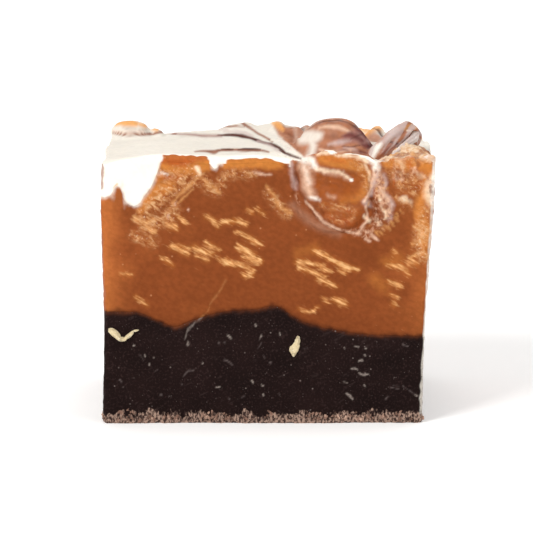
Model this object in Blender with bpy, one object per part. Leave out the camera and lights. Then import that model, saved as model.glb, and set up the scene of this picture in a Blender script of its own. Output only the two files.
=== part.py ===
"""A cut cube of layered fudge, modelled at real size in metres, +Z up.

The block stands on its base with the cut face that shows its layers towards -Y.
From the bottom it is dark chocolate fudge, caramel fudge, and a marbled topping
of white and milk chocolate that was pulled into swirls before it set.
Lengths in this script are millimetres until a mesh is written.
"""

import math
import random

import bmesh
import bpy
import numpy as np
from mathutils import Euler, Matrix, Vector

MM = 0.001

# Driving dimensions of the block.
LEFT_WALL = -20.1
RIGHT_WALL = 19.3
RIGHT_WALL_LEAN = 1.3
DEPTH = 32.0
TOP_LEVEL = 33.4
CORNER_PULL = 0.35
LAYER_GAP = 0.3
LEAST_FILM = 0.9

# Grid cells of each layer, across and in depth.
CELLS_X = 31
CELLS_Y = 24

# Height of the seam between dark chocolate and caramel, across the front cut and the back.
SEAM_FRONT = ((-20, 14.1), (-16, 14.0), (-13.2, 12.9), (-11.2, 12.2), (-9.0, 13.0), (-5.0, 14.1),
              (-1.0, 14.4), (1.0, 14.8), (4.5, 12.9), (8.0, 11.9), (13.0, 11.2), (21, 11.0))
SEAM_BACK = ((-20, 13.6), (-12, 14.3), (-4, 13.0), (5, 12.2), (12, 13.4), (21, 12.6))

# Lower side of the topping. It hangs into the caramel as a pocket at the left and a swirl at the right.
HANG_FRONT = ((-20, 28.6), (-18.3, 29.4), (-16.4, 27.0), (-14.4, 29.0), (-12.7, 32.9), (-7.6, 33.0),
              (-6.3, 31.9), (-5.2, 33.0), (2.2, 32.9), (3.6, 30.4), (5.2, 26.8), (7.2, 25.0),
              (9.8, 23.9), (12.4, 25.2), (15.8, 26.2), (17.4, 28.6), (18.8, 32.8), (21, 32.8))
HANG_BACK = ((-20, 31.6), (-13, 30.2), (-8, 27.4), (-3, 30.8), (3, 32.2), (9, 29.6),
             (13, 26.4), (17, 29.0), (21, 31.8))

# Height of the top along the front cut, and along a line through the middle and the back.
TOP_FRONT = ((-20, 32.5), (-17, 33.2), (-12.7, 33.7), (-6.3, 33.4), (0, 33.6), (2.9, 33.0), (4.4, 33.4),
             (6.6, 34.3), (9.2, 34.2), (11.8, 33.7), (13.4, 32.7), (15.2, 33.3), (19, 33.5), (21, 32.6))
TOP_MIDDLE = ((-20, 32.4), (-12, 33.0), (-4, 32.8), (4, 33.0), (12, 33.2), (21, 32.6))
TOP_BACK = ((-20, 32.2), (-10, 32.6), (-2, 33.1), (8, 33.2), (14, 32.6), (21, 32.0))

# Rounded mounds on top: centre x, centre y, half width, half depth, height.
MOUNDS = (
    (8.8, -8.2, 4.0, 5.4, 3.6),
    (-16.6, 11.2, 3.0, 3.4, 2.1),
    (2.2, 12.0, 1.7, 2.0, 1.1),
    (5.4, 8.6, 1.8, 2.4, 1.2),
    (-9.0, -6.5, 6.5, 4.0, 0.5),
)

# Pulled folds on top, as ridges in plan: start, bend, end, height at start and end, half width.
FOLDS = (
    ((19.4, 1.0), (13.0, 6.4), (9.0, 14.6), 1.2, 1.8, 2.4),
    ((-13.5, 0.5), (-6.0, 5.0), (0.5, 15.0), 0.7, 1.1, 2.2),
    ((-19.0, -2.0), (-12.5, 3.5), (-9.5, 12.0), 0.6, 0.8, 1.8),
    ((2.8, -11.0), (-3.0, -5.0), (-16.5, -1.0), 0.5, 0.3, 1.6),
)

# The pulled tip that stands up and curls over at the right: x, y, z and radius along it.
TIP_PATH = ((12.9, -13.6, 32.2, 1.2), (14.8, -10.8, 32.9, 1.9), (16.4, -7.8, 33.7, 1.9),
            (17.5, -5.2, 34.4, 1.5), (18.2, -3.5, 34.7, 1.2), (18.6, -2.3, 34.2, 1.05),
            (18.5, -1.7, 33.2, 1.0))
TIP_SIDES = 10
TIP_RINGS = 16

# Nut pieces that show in the dark layer: x, y, z of the centre and the three half sizes.
NUTS = (
    (3.6, -15.7, 9.6, 0.75, 0.55, 1.35),
    (-18.0, -15.7, 11.2, 1.15, 0.5, 0.75),
    (11.4, -15.8, 7.2, 0.8, 0.45, 0.55),
    (-19.9, 9.6, 10.6, 0.5, 1.15, 1.9),
    (-19.9, -3.6, 5.4, 0.45, 0.7, 1.35),
    (19.5, 8.4, 5.2, 0.5, 1.1, 2.0),
    (-6.0, 15.8, 8.0, 1.2, 0.5, 0.9),
)
CRUMB_COUNT = 84
CRUMB_SEED = 11


def smooth_line(points, at):
    """Height of a line through a few points, with a level tangent at each of them."""
    xs = [p[0] for p in points]
    zs = [p[1] for p in points]
    if at <= xs[0]:
        return zs[0]
    for x0, x1, z0, z1 in zip(xs, xs[1:], zs, zs[1:]):
        if at <= x1:
            t = (at - x0) / (x1 - x0)
            return z0 + (z1 - z0) * t * t * (3 - 2 * t)
    return zs[-1]


def ease(t):
    t = min(1.0, max(0.0, t))
    return t * t * (3 - 2 * t)


def seam(x, y):
    """Top of the dark chocolate layer."""
    back = ease((y + DEPTH / 2) / DEPTH)
    ripple = 0.25 * math.sin(0.45 * x + 0.6) * math.sin(0.4 * y + 1.2) * 4 * back * (1 - back)
    return smooth_line(SEAM_FRONT, x) * (1 - back) + smooth_line(SEAM_BACK, x) * back + ripple


def bend_point(start, bend, end, t):
    """A point on the curve that leaves start towards bend and arrives at end."""
    a, b, c = (1 - t) ** 2, 2 * t * (1 - t), t * t
    return a * start[0] + b * bend[0] + c * end[0], a * start[1] + b * bend[1] + c * end[1]


def fold_height(x, y):
    """How much the pulled folds raise the top at a point in plan."""
    raised = 0.0
    steps = 24
    for start, bend, end, first, last, half_width in FOLDS:
        nearest = None
        for k in range(steps + 1):
            px, py = bend_point(start, bend, end, k / steps)
            away = math.hypot(x - px, y - py)
            if nearest is None or away < nearest[0]:
                nearest = (away, k / steps)
        away, t = nearest
        height = first + (last - first) * t
        raised = max(raised, height * math.exp(-(away / half_width) ** 2))
    return raised


def top(x, y):
    """Top of the topping."""
    depth = (y + DEPTH / 2) / DEPTH
    from_front = ease(depth / 0.2)
    to_back = ease((depth - 0.3) / 0.7)
    inside = smooth_line(TOP_MIDDLE, x) * (1 - to_back) + smooth_line(TOP_BACK, x) * to_back
    level = smooth_line(TOP_FRONT, x) * (1 - from_front) + inside * from_front
    for cx, cy, half_width, half_depth, height in MOUNDS:
        away = ((x - cx) / half_width) ** 2 + ((y - cy) / half_depth) ** 2
        level += height * math.exp(-away ** 1.4)
    return level + fold_height(x, y) * from_front


def hang(x, y):
    """Lower side of the topping, which stays a film at least LEAST_FILM thick."""
    back = ease((y + DEPTH / 2) / DEPTH)
    drift = 3.0 * back * (1 - back)
    low = smooth_line(HANG_FRONT, x + drift) * (1 - back) + smooth_line(HANG_BACK, x - drift) * back
    return min(low, top(x, y) - LEAST_FILM)


def place(u, v, z):
    """The point at u, v from -1 to 1 across and in depth of the block, at height z."""
    right = RIGHT_WALL + RIGHT_WALL_LEAN * z / TOP_LEVEL
    across = LEFT_WALL + (right - LEFT_WALL) * (u + 1) / 2
    deep = v * DEPTH / 2
    across += 0.14 * u * math.sin(0.21 * z + 0.33 * deep + 0.8)
    deep += 0.16 * v * math.sin(0.19 * z + 0.27 * across + 0.5)
    return across, deep


def plan(i, j):
    """Grid place i, j as u and v, with the block's four upright corners pulled in a little."""
    u, v = 2 * i / CELLS_X - 1, 2 * j / CELLS_Y - 1
    if i in (0, CELLS_X) and j in (0, CELLS_Y):
        u *= 1 - CORNER_PULL / (RIGHT_WALL - LEFT_WALL) * 2
        v *= 1 - CORNER_PULL / DEPTH * 2
    return u, v


def rim():
    """Grid places round the outside of the plan, anticlockwise from above."""
    front = [(i, 0) for i in range(CELLS_X)]
    right = [(CELLS_X, j) for j in range(CELLS_Y)]
    back = [(i, CELLS_Y) for i in range(CELLS_X, 0, -1)]
    left = [(0, j) for j in range(CELLS_Y, 0, -1)]
    return front + right + back + left


def surface(bm, height):
    """Grid of vertices at a height that is a function of x and y."""
    grid = {}
    for i in range(CELLS_X + 1):
        for j in range(CELLS_Y + 1):
            u, v = plan(i, j)
            x, y = place(u, v, TOP_LEVEL / 2)
            z = height(x, y)
            grid[i, j] = bm.verts.new((*place(u, v, z), z))
    return grid


def skin(bm, grid, upwards):
    """Quads over a grid of vertices."""
    for i in range(CELLS_X):
        for j in range(CELLS_Y):
            corners = [grid[i, j], grid[i + 1, j], grid[i + 1, j + 1], grid[i, j + 1]]
            bm.faces.new(corners if upwards else corners[::-1])


def wall(bm, rings):
    """Quads between rings of vertices that go round the block, lowest ring first."""
    for lower, upper in zip(rings, rings[1:]):
        count = len(lower)
        for k in range(count):
            n = (k + 1) % count
            bm.faces.new((lower[k], lower[n], upper[n], upper[k]))


def ring_between(bm, low, high, share):
    """Ring of vertices at a share of the way from the rim of one grid to that of another."""
    ring = []
    for place_in_grid in rim():
        a, b = low[place_in_grid].co.z, high[place_in_grid].co.z
        z = a + (b - a) * share
        ring.append(bm.verts.new((*place(*plan(*place_in_grid), z), z)))
    return ring


def finish_object(name, bm, material):
    """Writes a mesh in metres and gives it its material."""
    bmesh.ops.recalc_face_normals(bm, faces=bm.faces)
    bm.transform(Matrix.Scale(MM, 4))
    mesh = bpy.data.meshes.new(name)
    bm.to_mesh(mesh)
    bm.free()
    obj = bpy.data.objects.new(name, mesh)
    bpy.context.scene.collection.objects.link(obj)
    mesh.materials.append(material)
    return obj


def smooth_shading(obj, degrees):
    obj.data.shade_smooth()
    obj.data.set_sharp_from_angle(angle=math.radians(degrees))


def chocolate(name, colour, roughness):
    """A food material: colour is linear red, green and blue."""
    material = bpy.data.materials.new(name)
    material.use_nodes = True
    shader = material.node_tree.nodes["Principled BSDF"]
    shader.inputs["Base Color"].default_value = (*colour, 1)
    shader.inputs["Roughness"].default_value = roughness
    shader.inputs["Metallic"].default_value = 0.0
    material.diffuse_color = (*colour, 1)
    return material


def layer(name, low, high, shares, material):
    """A closed layer between two surfaces, with wall rings at the shares of its height."""
    bm = bmesh.new()
    bottom = surface(bm, low)
    upper = surface(bm, high)
    skin(bm, bottom, upwards=False)
    skin(bm, upper, upwards=True)
    rings = [[bottom[p] for p in rim()]]
    rings += [ring_between(bm, bottom, upper, share) for share in shares]
    rings.append([upper[p] for p in rim()])
    wall(bm, rings)
    return finish_object(name, bm, material)


def dark_base(material):
    """The dark chocolate layer: flat below, ragged along its lower edge."""
    ragged = random.Random(CRUMB_SEED)
    bm = bmesh.new()
    upper = surface(bm, seam)
    skin(bm, upper, upwards=True)
    rings = []
    for z, rough in ((0.0, 0.0), (0.55, 0.28), (1.2, 0.2), (2.4, 0.0), (7.0, 0.0)):
        ring = []
        for place_in_grid in rim():
            u, v = plan(*place_in_grid)
            grow = 1 + rough * ragged.uniform(-1, 1) * 2 / DEPTH
            foot = 0.985 if z == 0 else 1.0
            ring.append(bm.verts.new((*place(u * grow * foot, v * grow * foot, z), z)))
        rings.append(ring)
    rings.append([upper[p] for p in rim()])
    wall(bm, rings)
    bm.faces.new(rings[0][::-1])
    return finish_object("dark_chocolate_base", bm, material)


def lump(name, centre, half_sizes, turn, rng, material):
    """A small uneven piece, as a 20-sided ball pushed out of round."""
    bm = bmesh.new()
    bmesh.ops.create_icosphere(bm, subdivisions=1, radius=1.0)
    for vertex in bm.verts:
        vertex.co *= rng.uniform(0.82, 1.16)
    bm.transform(Matrix.Translation(Vector(centre)) @ turn.to_matrix().to_4x4()
                 @ Matrix.Diagonal((*half_sizes, 1)))
    return finish_object(name, bm, material)


def crumb_places(rng):
    """Places of the crumbs along the block's lower edge, spread evenly round it."""
    edge = rim()
    for k in range(CRUMB_COUNT):
        at = (k + rng.uniform(-0.35, 0.35)) / CRUMB_COUNT * len(edge)
        u, v = plan(*edge[int(at) % len(edge)])
        size = rng.uniform(0.55, 1.05)
        z = rng.uniform(size * 1.15 + 0.05, 1.9)
        x, y = place(u, v, z)
        yield (x, y, z), size


def crumbs_and_nuts(material):
    """The pieces that are fused to the dark layer."""
    rng = random.Random(CRUMB_SEED + 1)
    pieces = []
    for centre, size in crumb_places(rng):
        turn = Euler((0, 0, rng.uniform(0, math.tau)))
        halves = (size, size * rng.uniform(0.6, 0.9), size * rng.uniform(0.6, 0.95))
        pieces.append(lump("crumb", centre, halves, turn, rng, material))
    for x, y, z, *halves in NUTS:
        pieces.append(lump("nut", (x, y, z), halves, Euler((0, 0, 0)), rng, material))
    return pieces


def curled_tip(material):
    """A tapering pulled tip, swept along its path with round ends."""
    bm = bmesh.new()
    stops = np.array(TIP_PATH)
    at = np.linspace(0, len(stops) - 1, TIP_RINGS)
    line = [Vector([np.interp(a, range(len(stops)), stops[:, k]) for k in range(4)]) for a in at]
    rings = []
    for k, point in enumerate(line):
        before, after = line[max(0, k - 1)], line[min(TIP_RINGS - 1, k + 1)]
        turn = (after.xyz - before.xyz).to_track_quat("Z", "Y")
        ring = []
        for side in range(TIP_SIDES):
            angle = math.tau * side / TIP_SIDES
            spoke = Vector((math.cos(angle), 0.75 * math.sin(angle), 0)) * point.w
            ring.append(bm.verts.new(point.xyz + turn @ spoke))
        rings.append(ring)
    wall(bm, rings)
    bm.faces.new(rings[0][::-1])
    bm.faces.new(rings[-1])
    return finish_object("tip", bm, material)


def largest_shell(obj):
    """Drops loose scraps and sealed hollows that fusing may leave."""
    bm = bmesh.new()
    bm.from_mesh(obj.data)
    waiting = set(bm.verts)
    shells = []
    while waiting:
        reached = {waiting.pop()}
        edge_of_search = list(reached)
        while edge_of_search:
            vertex = edge_of_search.pop()
            near = {e.other_vert(vertex) for e in vertex.link_edges} - reached
            reached |= near
            edge_of_search.extend(near)
        waiting -= reached
        shells.append(reached)
    kept = max(shells, key=len)
    bmesh.ops.delete(bm, geom=[v for v in bm.verts if v not in kept], context="VERTS")
    bm.to_mesh(obj.data)
    bm.free()


def fuse(obj, pieces):
    """Joins the pieces to obj with one union, then removes them."""
    collection = bpy.data.collections.new("to_fuse")
    bpy.context.scene.collection.children.link(collection)
    for piece in pieces:
        bpy.context.scene.collection.objects.unlink(piece)
        collection.objects.link(piece)
    union = obj.modifiers.new("union", "BOOLEAN")
    union.operation = "UNION"
    union.operand_type = "COLLECTION"
    union.collection = collection
    graph = bpy.context.evaluated_depsgraph_get()
    fused = bpy.data.meshes.new_from_object(obj.evaluated_get(graph))
    obj.modifiers.clear()
    obj.data = fused
    for piece in pieces:
        bpy.data.objects.remove(piece)
    bpy.data.collections.remove(collection)
    largest_shell(obj)


def build():
    for obj in list(bpy.data.objects):
        bpy.data.objects.remove(obj)
    dark = chocolate("dark_chocolate", (0.022, 0.012, 0.011), 0.5)
    caramel = chocolate("caramel", (0.35, 0.085, 0.022), 0.42)
    marbled = chocolate("marbled_topping", (0.78, 0.68, 0.58), 0.4)
    base = dark_base(dark)
    fuse(base, crumbs_and_nuts(dark))
    smooth_shading(base, 40)
    middle = layer("caramel_layer", lambda x, y: seam(x, y) + LAYER_GAP,
                   lambda x, y: hang(x, y) - LAYER_GAP, (0.33, 0.66), caramel)
    smooth_shading(middle, 50)
    topping = layer("marbled_topping", hang, top, (0.5,), marbled)
    fuse(topping, [curled_tip(marbled)])
    smooth_shading(topping, 50)


build()
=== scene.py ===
"""Looks of a cut cube of layered fudge: dark chocolate, caramel, and a marbled top pulled into swirls.

Lengths are millimetres until a mesh is written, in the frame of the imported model:
+Z up, -Y out of the cut front face, +X to the right of that face.
"""

import itertools
import math

import bmesh
import bpy
import numpy as np
from bpy.props import FloatProperty, FloatVectorProperty, IntProperty, PointerProperty
from bpy.types import Operator, Panel, PropertyGroup
from mathutils import Euler, Matrix, Vector


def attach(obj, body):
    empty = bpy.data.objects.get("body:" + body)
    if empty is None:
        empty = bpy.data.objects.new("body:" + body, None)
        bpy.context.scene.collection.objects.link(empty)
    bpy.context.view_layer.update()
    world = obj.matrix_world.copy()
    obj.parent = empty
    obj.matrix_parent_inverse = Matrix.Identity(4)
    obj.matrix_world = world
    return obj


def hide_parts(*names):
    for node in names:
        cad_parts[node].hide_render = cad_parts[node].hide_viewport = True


bl_info = {
    "name": "Layered Fudge Cube",
    "version": (1, 0, 0),
    "blender": (4, 5, 0),
    "location": "3D View > Sidebar > Fudge",
    "description": "Builds the finish of a cut cube of layered fudge round its packed model",
    "category": "Object",
}

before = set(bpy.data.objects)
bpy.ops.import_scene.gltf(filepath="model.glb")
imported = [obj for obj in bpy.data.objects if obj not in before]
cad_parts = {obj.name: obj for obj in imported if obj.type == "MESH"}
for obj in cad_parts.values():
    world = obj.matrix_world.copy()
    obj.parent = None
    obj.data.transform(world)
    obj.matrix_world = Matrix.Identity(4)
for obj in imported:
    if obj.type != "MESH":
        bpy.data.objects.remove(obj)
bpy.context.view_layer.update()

MM = 0.001
BODY = "root"

# The block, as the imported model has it.
LEFT_WALL = -20.1
RIGHT_WALL = 19.3
RIGHT_WALL_LEAN = 1.6
DEPTH = 32.0
TOP_LEVEL = 33.4
LEAST_FILM = 0.9
FRONT = -DEPTH / 2

# Height of the seam between dark chocolate and caramel, across the front cut and the back.
SEAM_FRONT = ((-20, 14.1), (-16, 14.0), (-13.2, 12.9), (-11.2, 12.2), (-9.0, 13.0), (-5.0, 14.1),
              (-1.0, 14.4), (1.0, 14.8), (4.5, 12.9), (8.0, 11.9), (13.0, 11.2), (21, 11.0))
SEAM_BACK = ((-20, 13.6), (-12, 14.3), (-4, 13.0), (5, 12.2), (12, 13.4), (21, 12.6))

# Lower side of the topping: a pocket at the left and a swirl at the right hang into the caramel.
HANG_FRONT = ((-20.2, 28.4), (-19.0, 28.5), (-18.6, 29.0), (-18.2, 29.8), (-17.7, 29.6), (-17.3, 28.4),
              (-16.9, 27.7), (-16.1, 27.3), (-15.4, 27.6), (-14.8, 28.5), (-14.1, 29.5), (-13.6, 30.5),
              (-13.2, 31.6), (-12.7, 33.0), (-7.6, 33.0), (-6.3, 31.9), (-5.2, 33.0), (2.2, 32.9),
              (3.6, 30.4), (5.2, 26.8), (7.2, 25.0), (9.8, 23.9), (12.4, 25.2), (15.8, 26.2),
              (17.4, 28.6), (18.8, 32.8), (21, 32.8))
HANG_BACK = ((-20, 31.6), (-13, 30.2), (-8, 27.4), (-3, 30.8), (3, 32.2), (9, 29.6),
             (13, 26.4), (17, 29.0), (21, 31.8))

# Height of the top along the front cut, and along a line through the middle and the back.
TOP_FRONT = ((-20, 32.5), (-17, 33.2), (-12.7, 33.7), (-6.3, 33.4), (0, 33.6), (2.9, 33.0), (4.4, 33.4),
             (6.0, 33.8), (7.0, 34.1), (8.2, 33.7), (10.2, 33.7), (11.8, 33.4), (13.4, 32.7), (15.2, 33.3),
             (19, 33.5), (21, 32.6))
TOP_MIDDLE = ((-20, 32.4), (-12, 33.0), (-4, 32.8), (4, 33.0), (12, 33.2), (21, 32.6))
TOP_BACK = ((-20, 32.2), (-10, 32.6), (-2, 33.1), (8, 33.2), (14, 32.6), (21, 32.0))

# Rounded mounds on top: centre x, centre y, half width, half depth, height, and how flat-topped it is.
MOUNDS = (
    (7.9, -8.6, 4.25, 5.4, 4.0, 1.9),
    (-17.8, 12.6, 2.7, 3.2, 1.95, 2.2),
    (-14.2, 12.4, 0.8, 1.6, 0.75, 1.9),
    (-4.2, 12.6, 2.4, 2.6, 0.80, 2.2),
    (1.7, 11.0, 1.1, 2.2, 0.9, 1.9),
    (3.4, 8.6, 1.3, 2.4, 0.7, 1.9),
    (13.6, 3.4, 1.3, 2.4, 1.2, 1.9),
    (17.3, -9.6, 2.5, 4.6, 1.2, 1.9),
)

# Pulled folds on top, as ridges in plan: start, bend, end, height at start and end, half width.
FOLDS = (
    ((19.4, 1.0), (14.0, 6.4), (11.0, 14.6), 0.5, 0.3, 2.4),
    ((-13.5, 2.5), (-6.0, 7.0), (0.5, 15.0), 0.3, 0.6, 2.2),
    ((-19.0, -2.0), (-12.5, 3.5), (-9.5, 12.0), 0.2, 0.5, 1.8),
    ((2.8, -11.0), (-3.0, -6.0), (-16.5, -3.0), 0.25, 0.1, 1.6),
)

# The pulled tip that stands up and curls over at the right: x, y, z and radius along it.
TIP_PATH = ((12.9, -14.6, 32.7, 0.7), (14.0, -12.6, 33.6, 1.15), (15.6, -10.0, 34.6, 1.25),
            (17.0, -7.6, 35.4, 1.05), (17.9, -6.0, 35.8, 0.85), (18.6, -4.8, 35.3, 0.75),
            (18.8, -4.2, 34.3, 0.9), (18.6, -3.8, 33.0, 1.0))

# A thin pale strand that falls back from the curl towards the front, in the same way.
STRAND_PATH = ((18.9, -4.6, 35.2, 0.40), (18.75, -6.6, 34.8, 0.50), (18.1, -8.8, 34.4, 0.52),
               (17.1, -11.0, 34.0, 0.48), (16.2, -12.8, 33.5, 0.42), (15.4, -14.2, 32.9, 0.30))

# Fine mesh: cells across, in depth, and up each layer, and how they crowd towards the front and the ends.
CELLS_X = 360
CELLS_Y = 120
BASE_ROWS = 80
CARAMEL_ROWS = 97
TOPPING_ROWS = 55
FRONT_CROWDING = 0.45
END_CROWDING = 0.15

# Rounding of the upright edges, half the gap between layers inside the block,
# and the shares by which the rings shrink that close a layer.
CORNER_RADIUS = 0.7
LAYER_GAP = 0.15
CAP_SHRINK = (0.985, 0.9, 0.5)

# How far in the relief of the walls reaches, and the widths of the soft seam,
# of the topping's soft lower edge and of the painted highlight along the right upright edge.
WALL_FADE = 1.5
SEAM_WIDTH = 1.2
CREEP_WIDTH = 0.95
EDGE_HIGHLIGHT_WIDTH = 0.38

# Bulge of the roll in the swirl, and the groove round it:
# depth, then place and half width as shares of the roll.
ROLL_BULGE = 0.5
ROLL_GROOVE = (0.22, 1.06, 0.06)

# Noise that roughens shapes and colours: strength, size of its bumps in millimetres, octaves and seed.
GRAINS = {
    "seam": (0.30, 0.8, 3, 69),
    "hang": (0.30, 0.6, 3, 67),
    "front_drag": (0.03, (2.4, 9.0, 0.7), 3, 21),
    "front_swell": (0.05, 3.2, 1, 22),
    "front_crumbs": (0.11, 0.7, 3, 23),
    "front_froth": (0.14, 0.6, 3, 25),
    "front_dark": (0.045, 0.55, 2, 24),
    "side_drag": (0.13, (1.1, 1.1, 4.5), 3, 31),
    "side_lumps": (0.10, 0.8, 2, 32),
    "side_pits": (1.0, (0.7, 0.7, 1.6), 1, 33),
    "upright_edge": (0.16, (0.6, 0.6, 0.9), 2, 41),
    "foot": (0.30, 0.55, 2, 42),
    "top_swell": (0.04, (2.6, 5.0, 3.0), 3, 52),
    "top_brown": (0.30, (0.9, 1.6, 1.0), 3, 57),
    "top_back": (0.35, (1.6, 1.6, 1.8), 3, 53),
    "top_crumbled": (0.8, 1.1, 4, 56),
    "top_chips": (0.16, 0.7, 2, 54),
    "glow": (0.22, 2.4, 1, 72),
    "seam_shade": (0.08, 0.5, 1, 73),
    "caramel_tone": (0.06, (4, 4, 3), 1, 74),
    "mark_edge": (0.13, 0.36, 3, 78),
    "streak_edge": (0.15, (0.9, 0.9, 0.22), 3, 79),
    "streak_fray": (0.65, (2.2, 2.2, 0.34), 2, 84),
    # Noise of the width and strength of the painted highlight along the right upright edge.
    "edge_highlight_width": (0.10, (9, 9, 0.8), 1, 75),
    "edge_highlight_strength": (0.15, (9, 9, 0.5), 1, 76),
    "topping_rim": (0.12, 0.6, 1, 61),
    "topping_side": (0.55, 0.9, 3, 62),
    "topping_drop": (0.6, (2.5, 2.5, 1.0), 1, 63),
    "white_tone": (0.03, 2.0, 1, 64),
    "top_mark_edge": (0.03, (0.5, 1.6, 0.5), 2, 68),
    "lump_tone": (2.0, 0.8, 3, 81),
    "lump_amber": (2.2, 1.3, 1, 82),
    "back_x": (0.3, 1.2, 1, 65),
    "back_y": (0.4, 1.2, 1, 66),
    "brown_tone": (0.45, (0.7, 1.2, 0.7), 3, 83),
    "dark_tone": (0.30, 2.6, 1, 77),
    "speck_edge": (0.07, 0.25, 2, 78),
    "fringe": (0.9, 0.9, 2, 71),
    "ribbon_edge": (0.06, 0.4, 2, 68),
    "ribbon_streaks": (1.0, (0.45, 0.45, 0.8), 3, 85),
    "band_swell": (0.75, 1.9, 1, 95),
    "band_edge": (0.45, 0.6, 1, 96),
}

# Colours of the marks, as linear red, green and blue.
PALETTE = {
    "gold": (0.56, 0.200, 0.042),
    "apricot": (0.80, 0.380, 0.120),
    "russet": (0.42, 0.090, 0.018),
    "ember": (0.33, 0.085, 0.018),
    "umber": (0.150, 0.035, 0.012),
    "sugar": (0.72, 0.355, 0.125),
    "blush": (0.84, 0.560, 0.400),
    "cream": (0.95, 0.780, 0.560),
    "white": (0.93, 0.900, 0.820),
    "ivory": (0.80, 0.740, 0.660),
    "lilac": (0.58, 0.450, 0.420),
    "latte": (0.415, 0.172, 0.094),
    "milk": (0.28, 0.105, 0.058),
    "mauve": (0.325, 0.155, 0.132),
    "maroon": (0.135, 0.028, 0.026),
    "plum": (0.080, 0.021, 0.015),
    "speck": (0.36, 0.300, 0.265),
    "dust": (0.12, 0.092, 0.088),
}

# Colours that only the shaders use.
TONES = {
    "dark_mottle": (0.032, 0.017, 0.016),
    "dark_drag": (0.055, 0.035, 0.033),
    "dark_speck": (0.20, 0.16, 0.145),
    "dark_dust": (0.12, 0.092, 0.085),
    "dark_scratch": (0.13, 0.10, 0.095),
    # Greyer, lighter colours of the dark layer's side faces: partly their smeared surface, partly a painted
    # sheen.
    "side_grey_and_sheen": (0.092, 0.066, 0.066),
    "side_grey_and_sheen_light": (0.165, 0.130, 0.130),
    "side_grey_fleck": (0.46, 0.36, 0.28),
    "fringe": (0.04, 0.022, 0.019),
    "fringe_light": (0.36, 0.24, 0.185),
    "streak": (0.74, 0.38, 0.150),
    "streak_light": (0.90, 0.60, 0.30),
    "crumbly": (0.50, 0.210, 0.075),
    "crumbly_light": (0.68, 0.40, 0.20),
    "crumbly_dark": (0.28, 0.070, 0.020),
    "crumbly_fleck": (0.80, 0.57, 0.38),
    "froth_dark": (0.25, 0.078, 0.034),
    "froth_net": (0.68, 0.40, 0.26),
    "froth_light": (0.78, 0.52, 0.36),
    "caramel_speck": (0.66, 0.34, 0.16),
    "side_dark": (0.42, 0.135, 0.060),
    "side_flake": (0.78, 0.66, 0.56),
    "nut_light": (0.86, 0.80, 0.64),
    "crumb_dark": (0.018, 0.009, 0.0075),
    "crumb": (0.24, 0.135, 0.098),
    "crumb_light": (0.56, 0.37, 0.28),
    "floor": (0.93, 0.93, 0.93),
}

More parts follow.
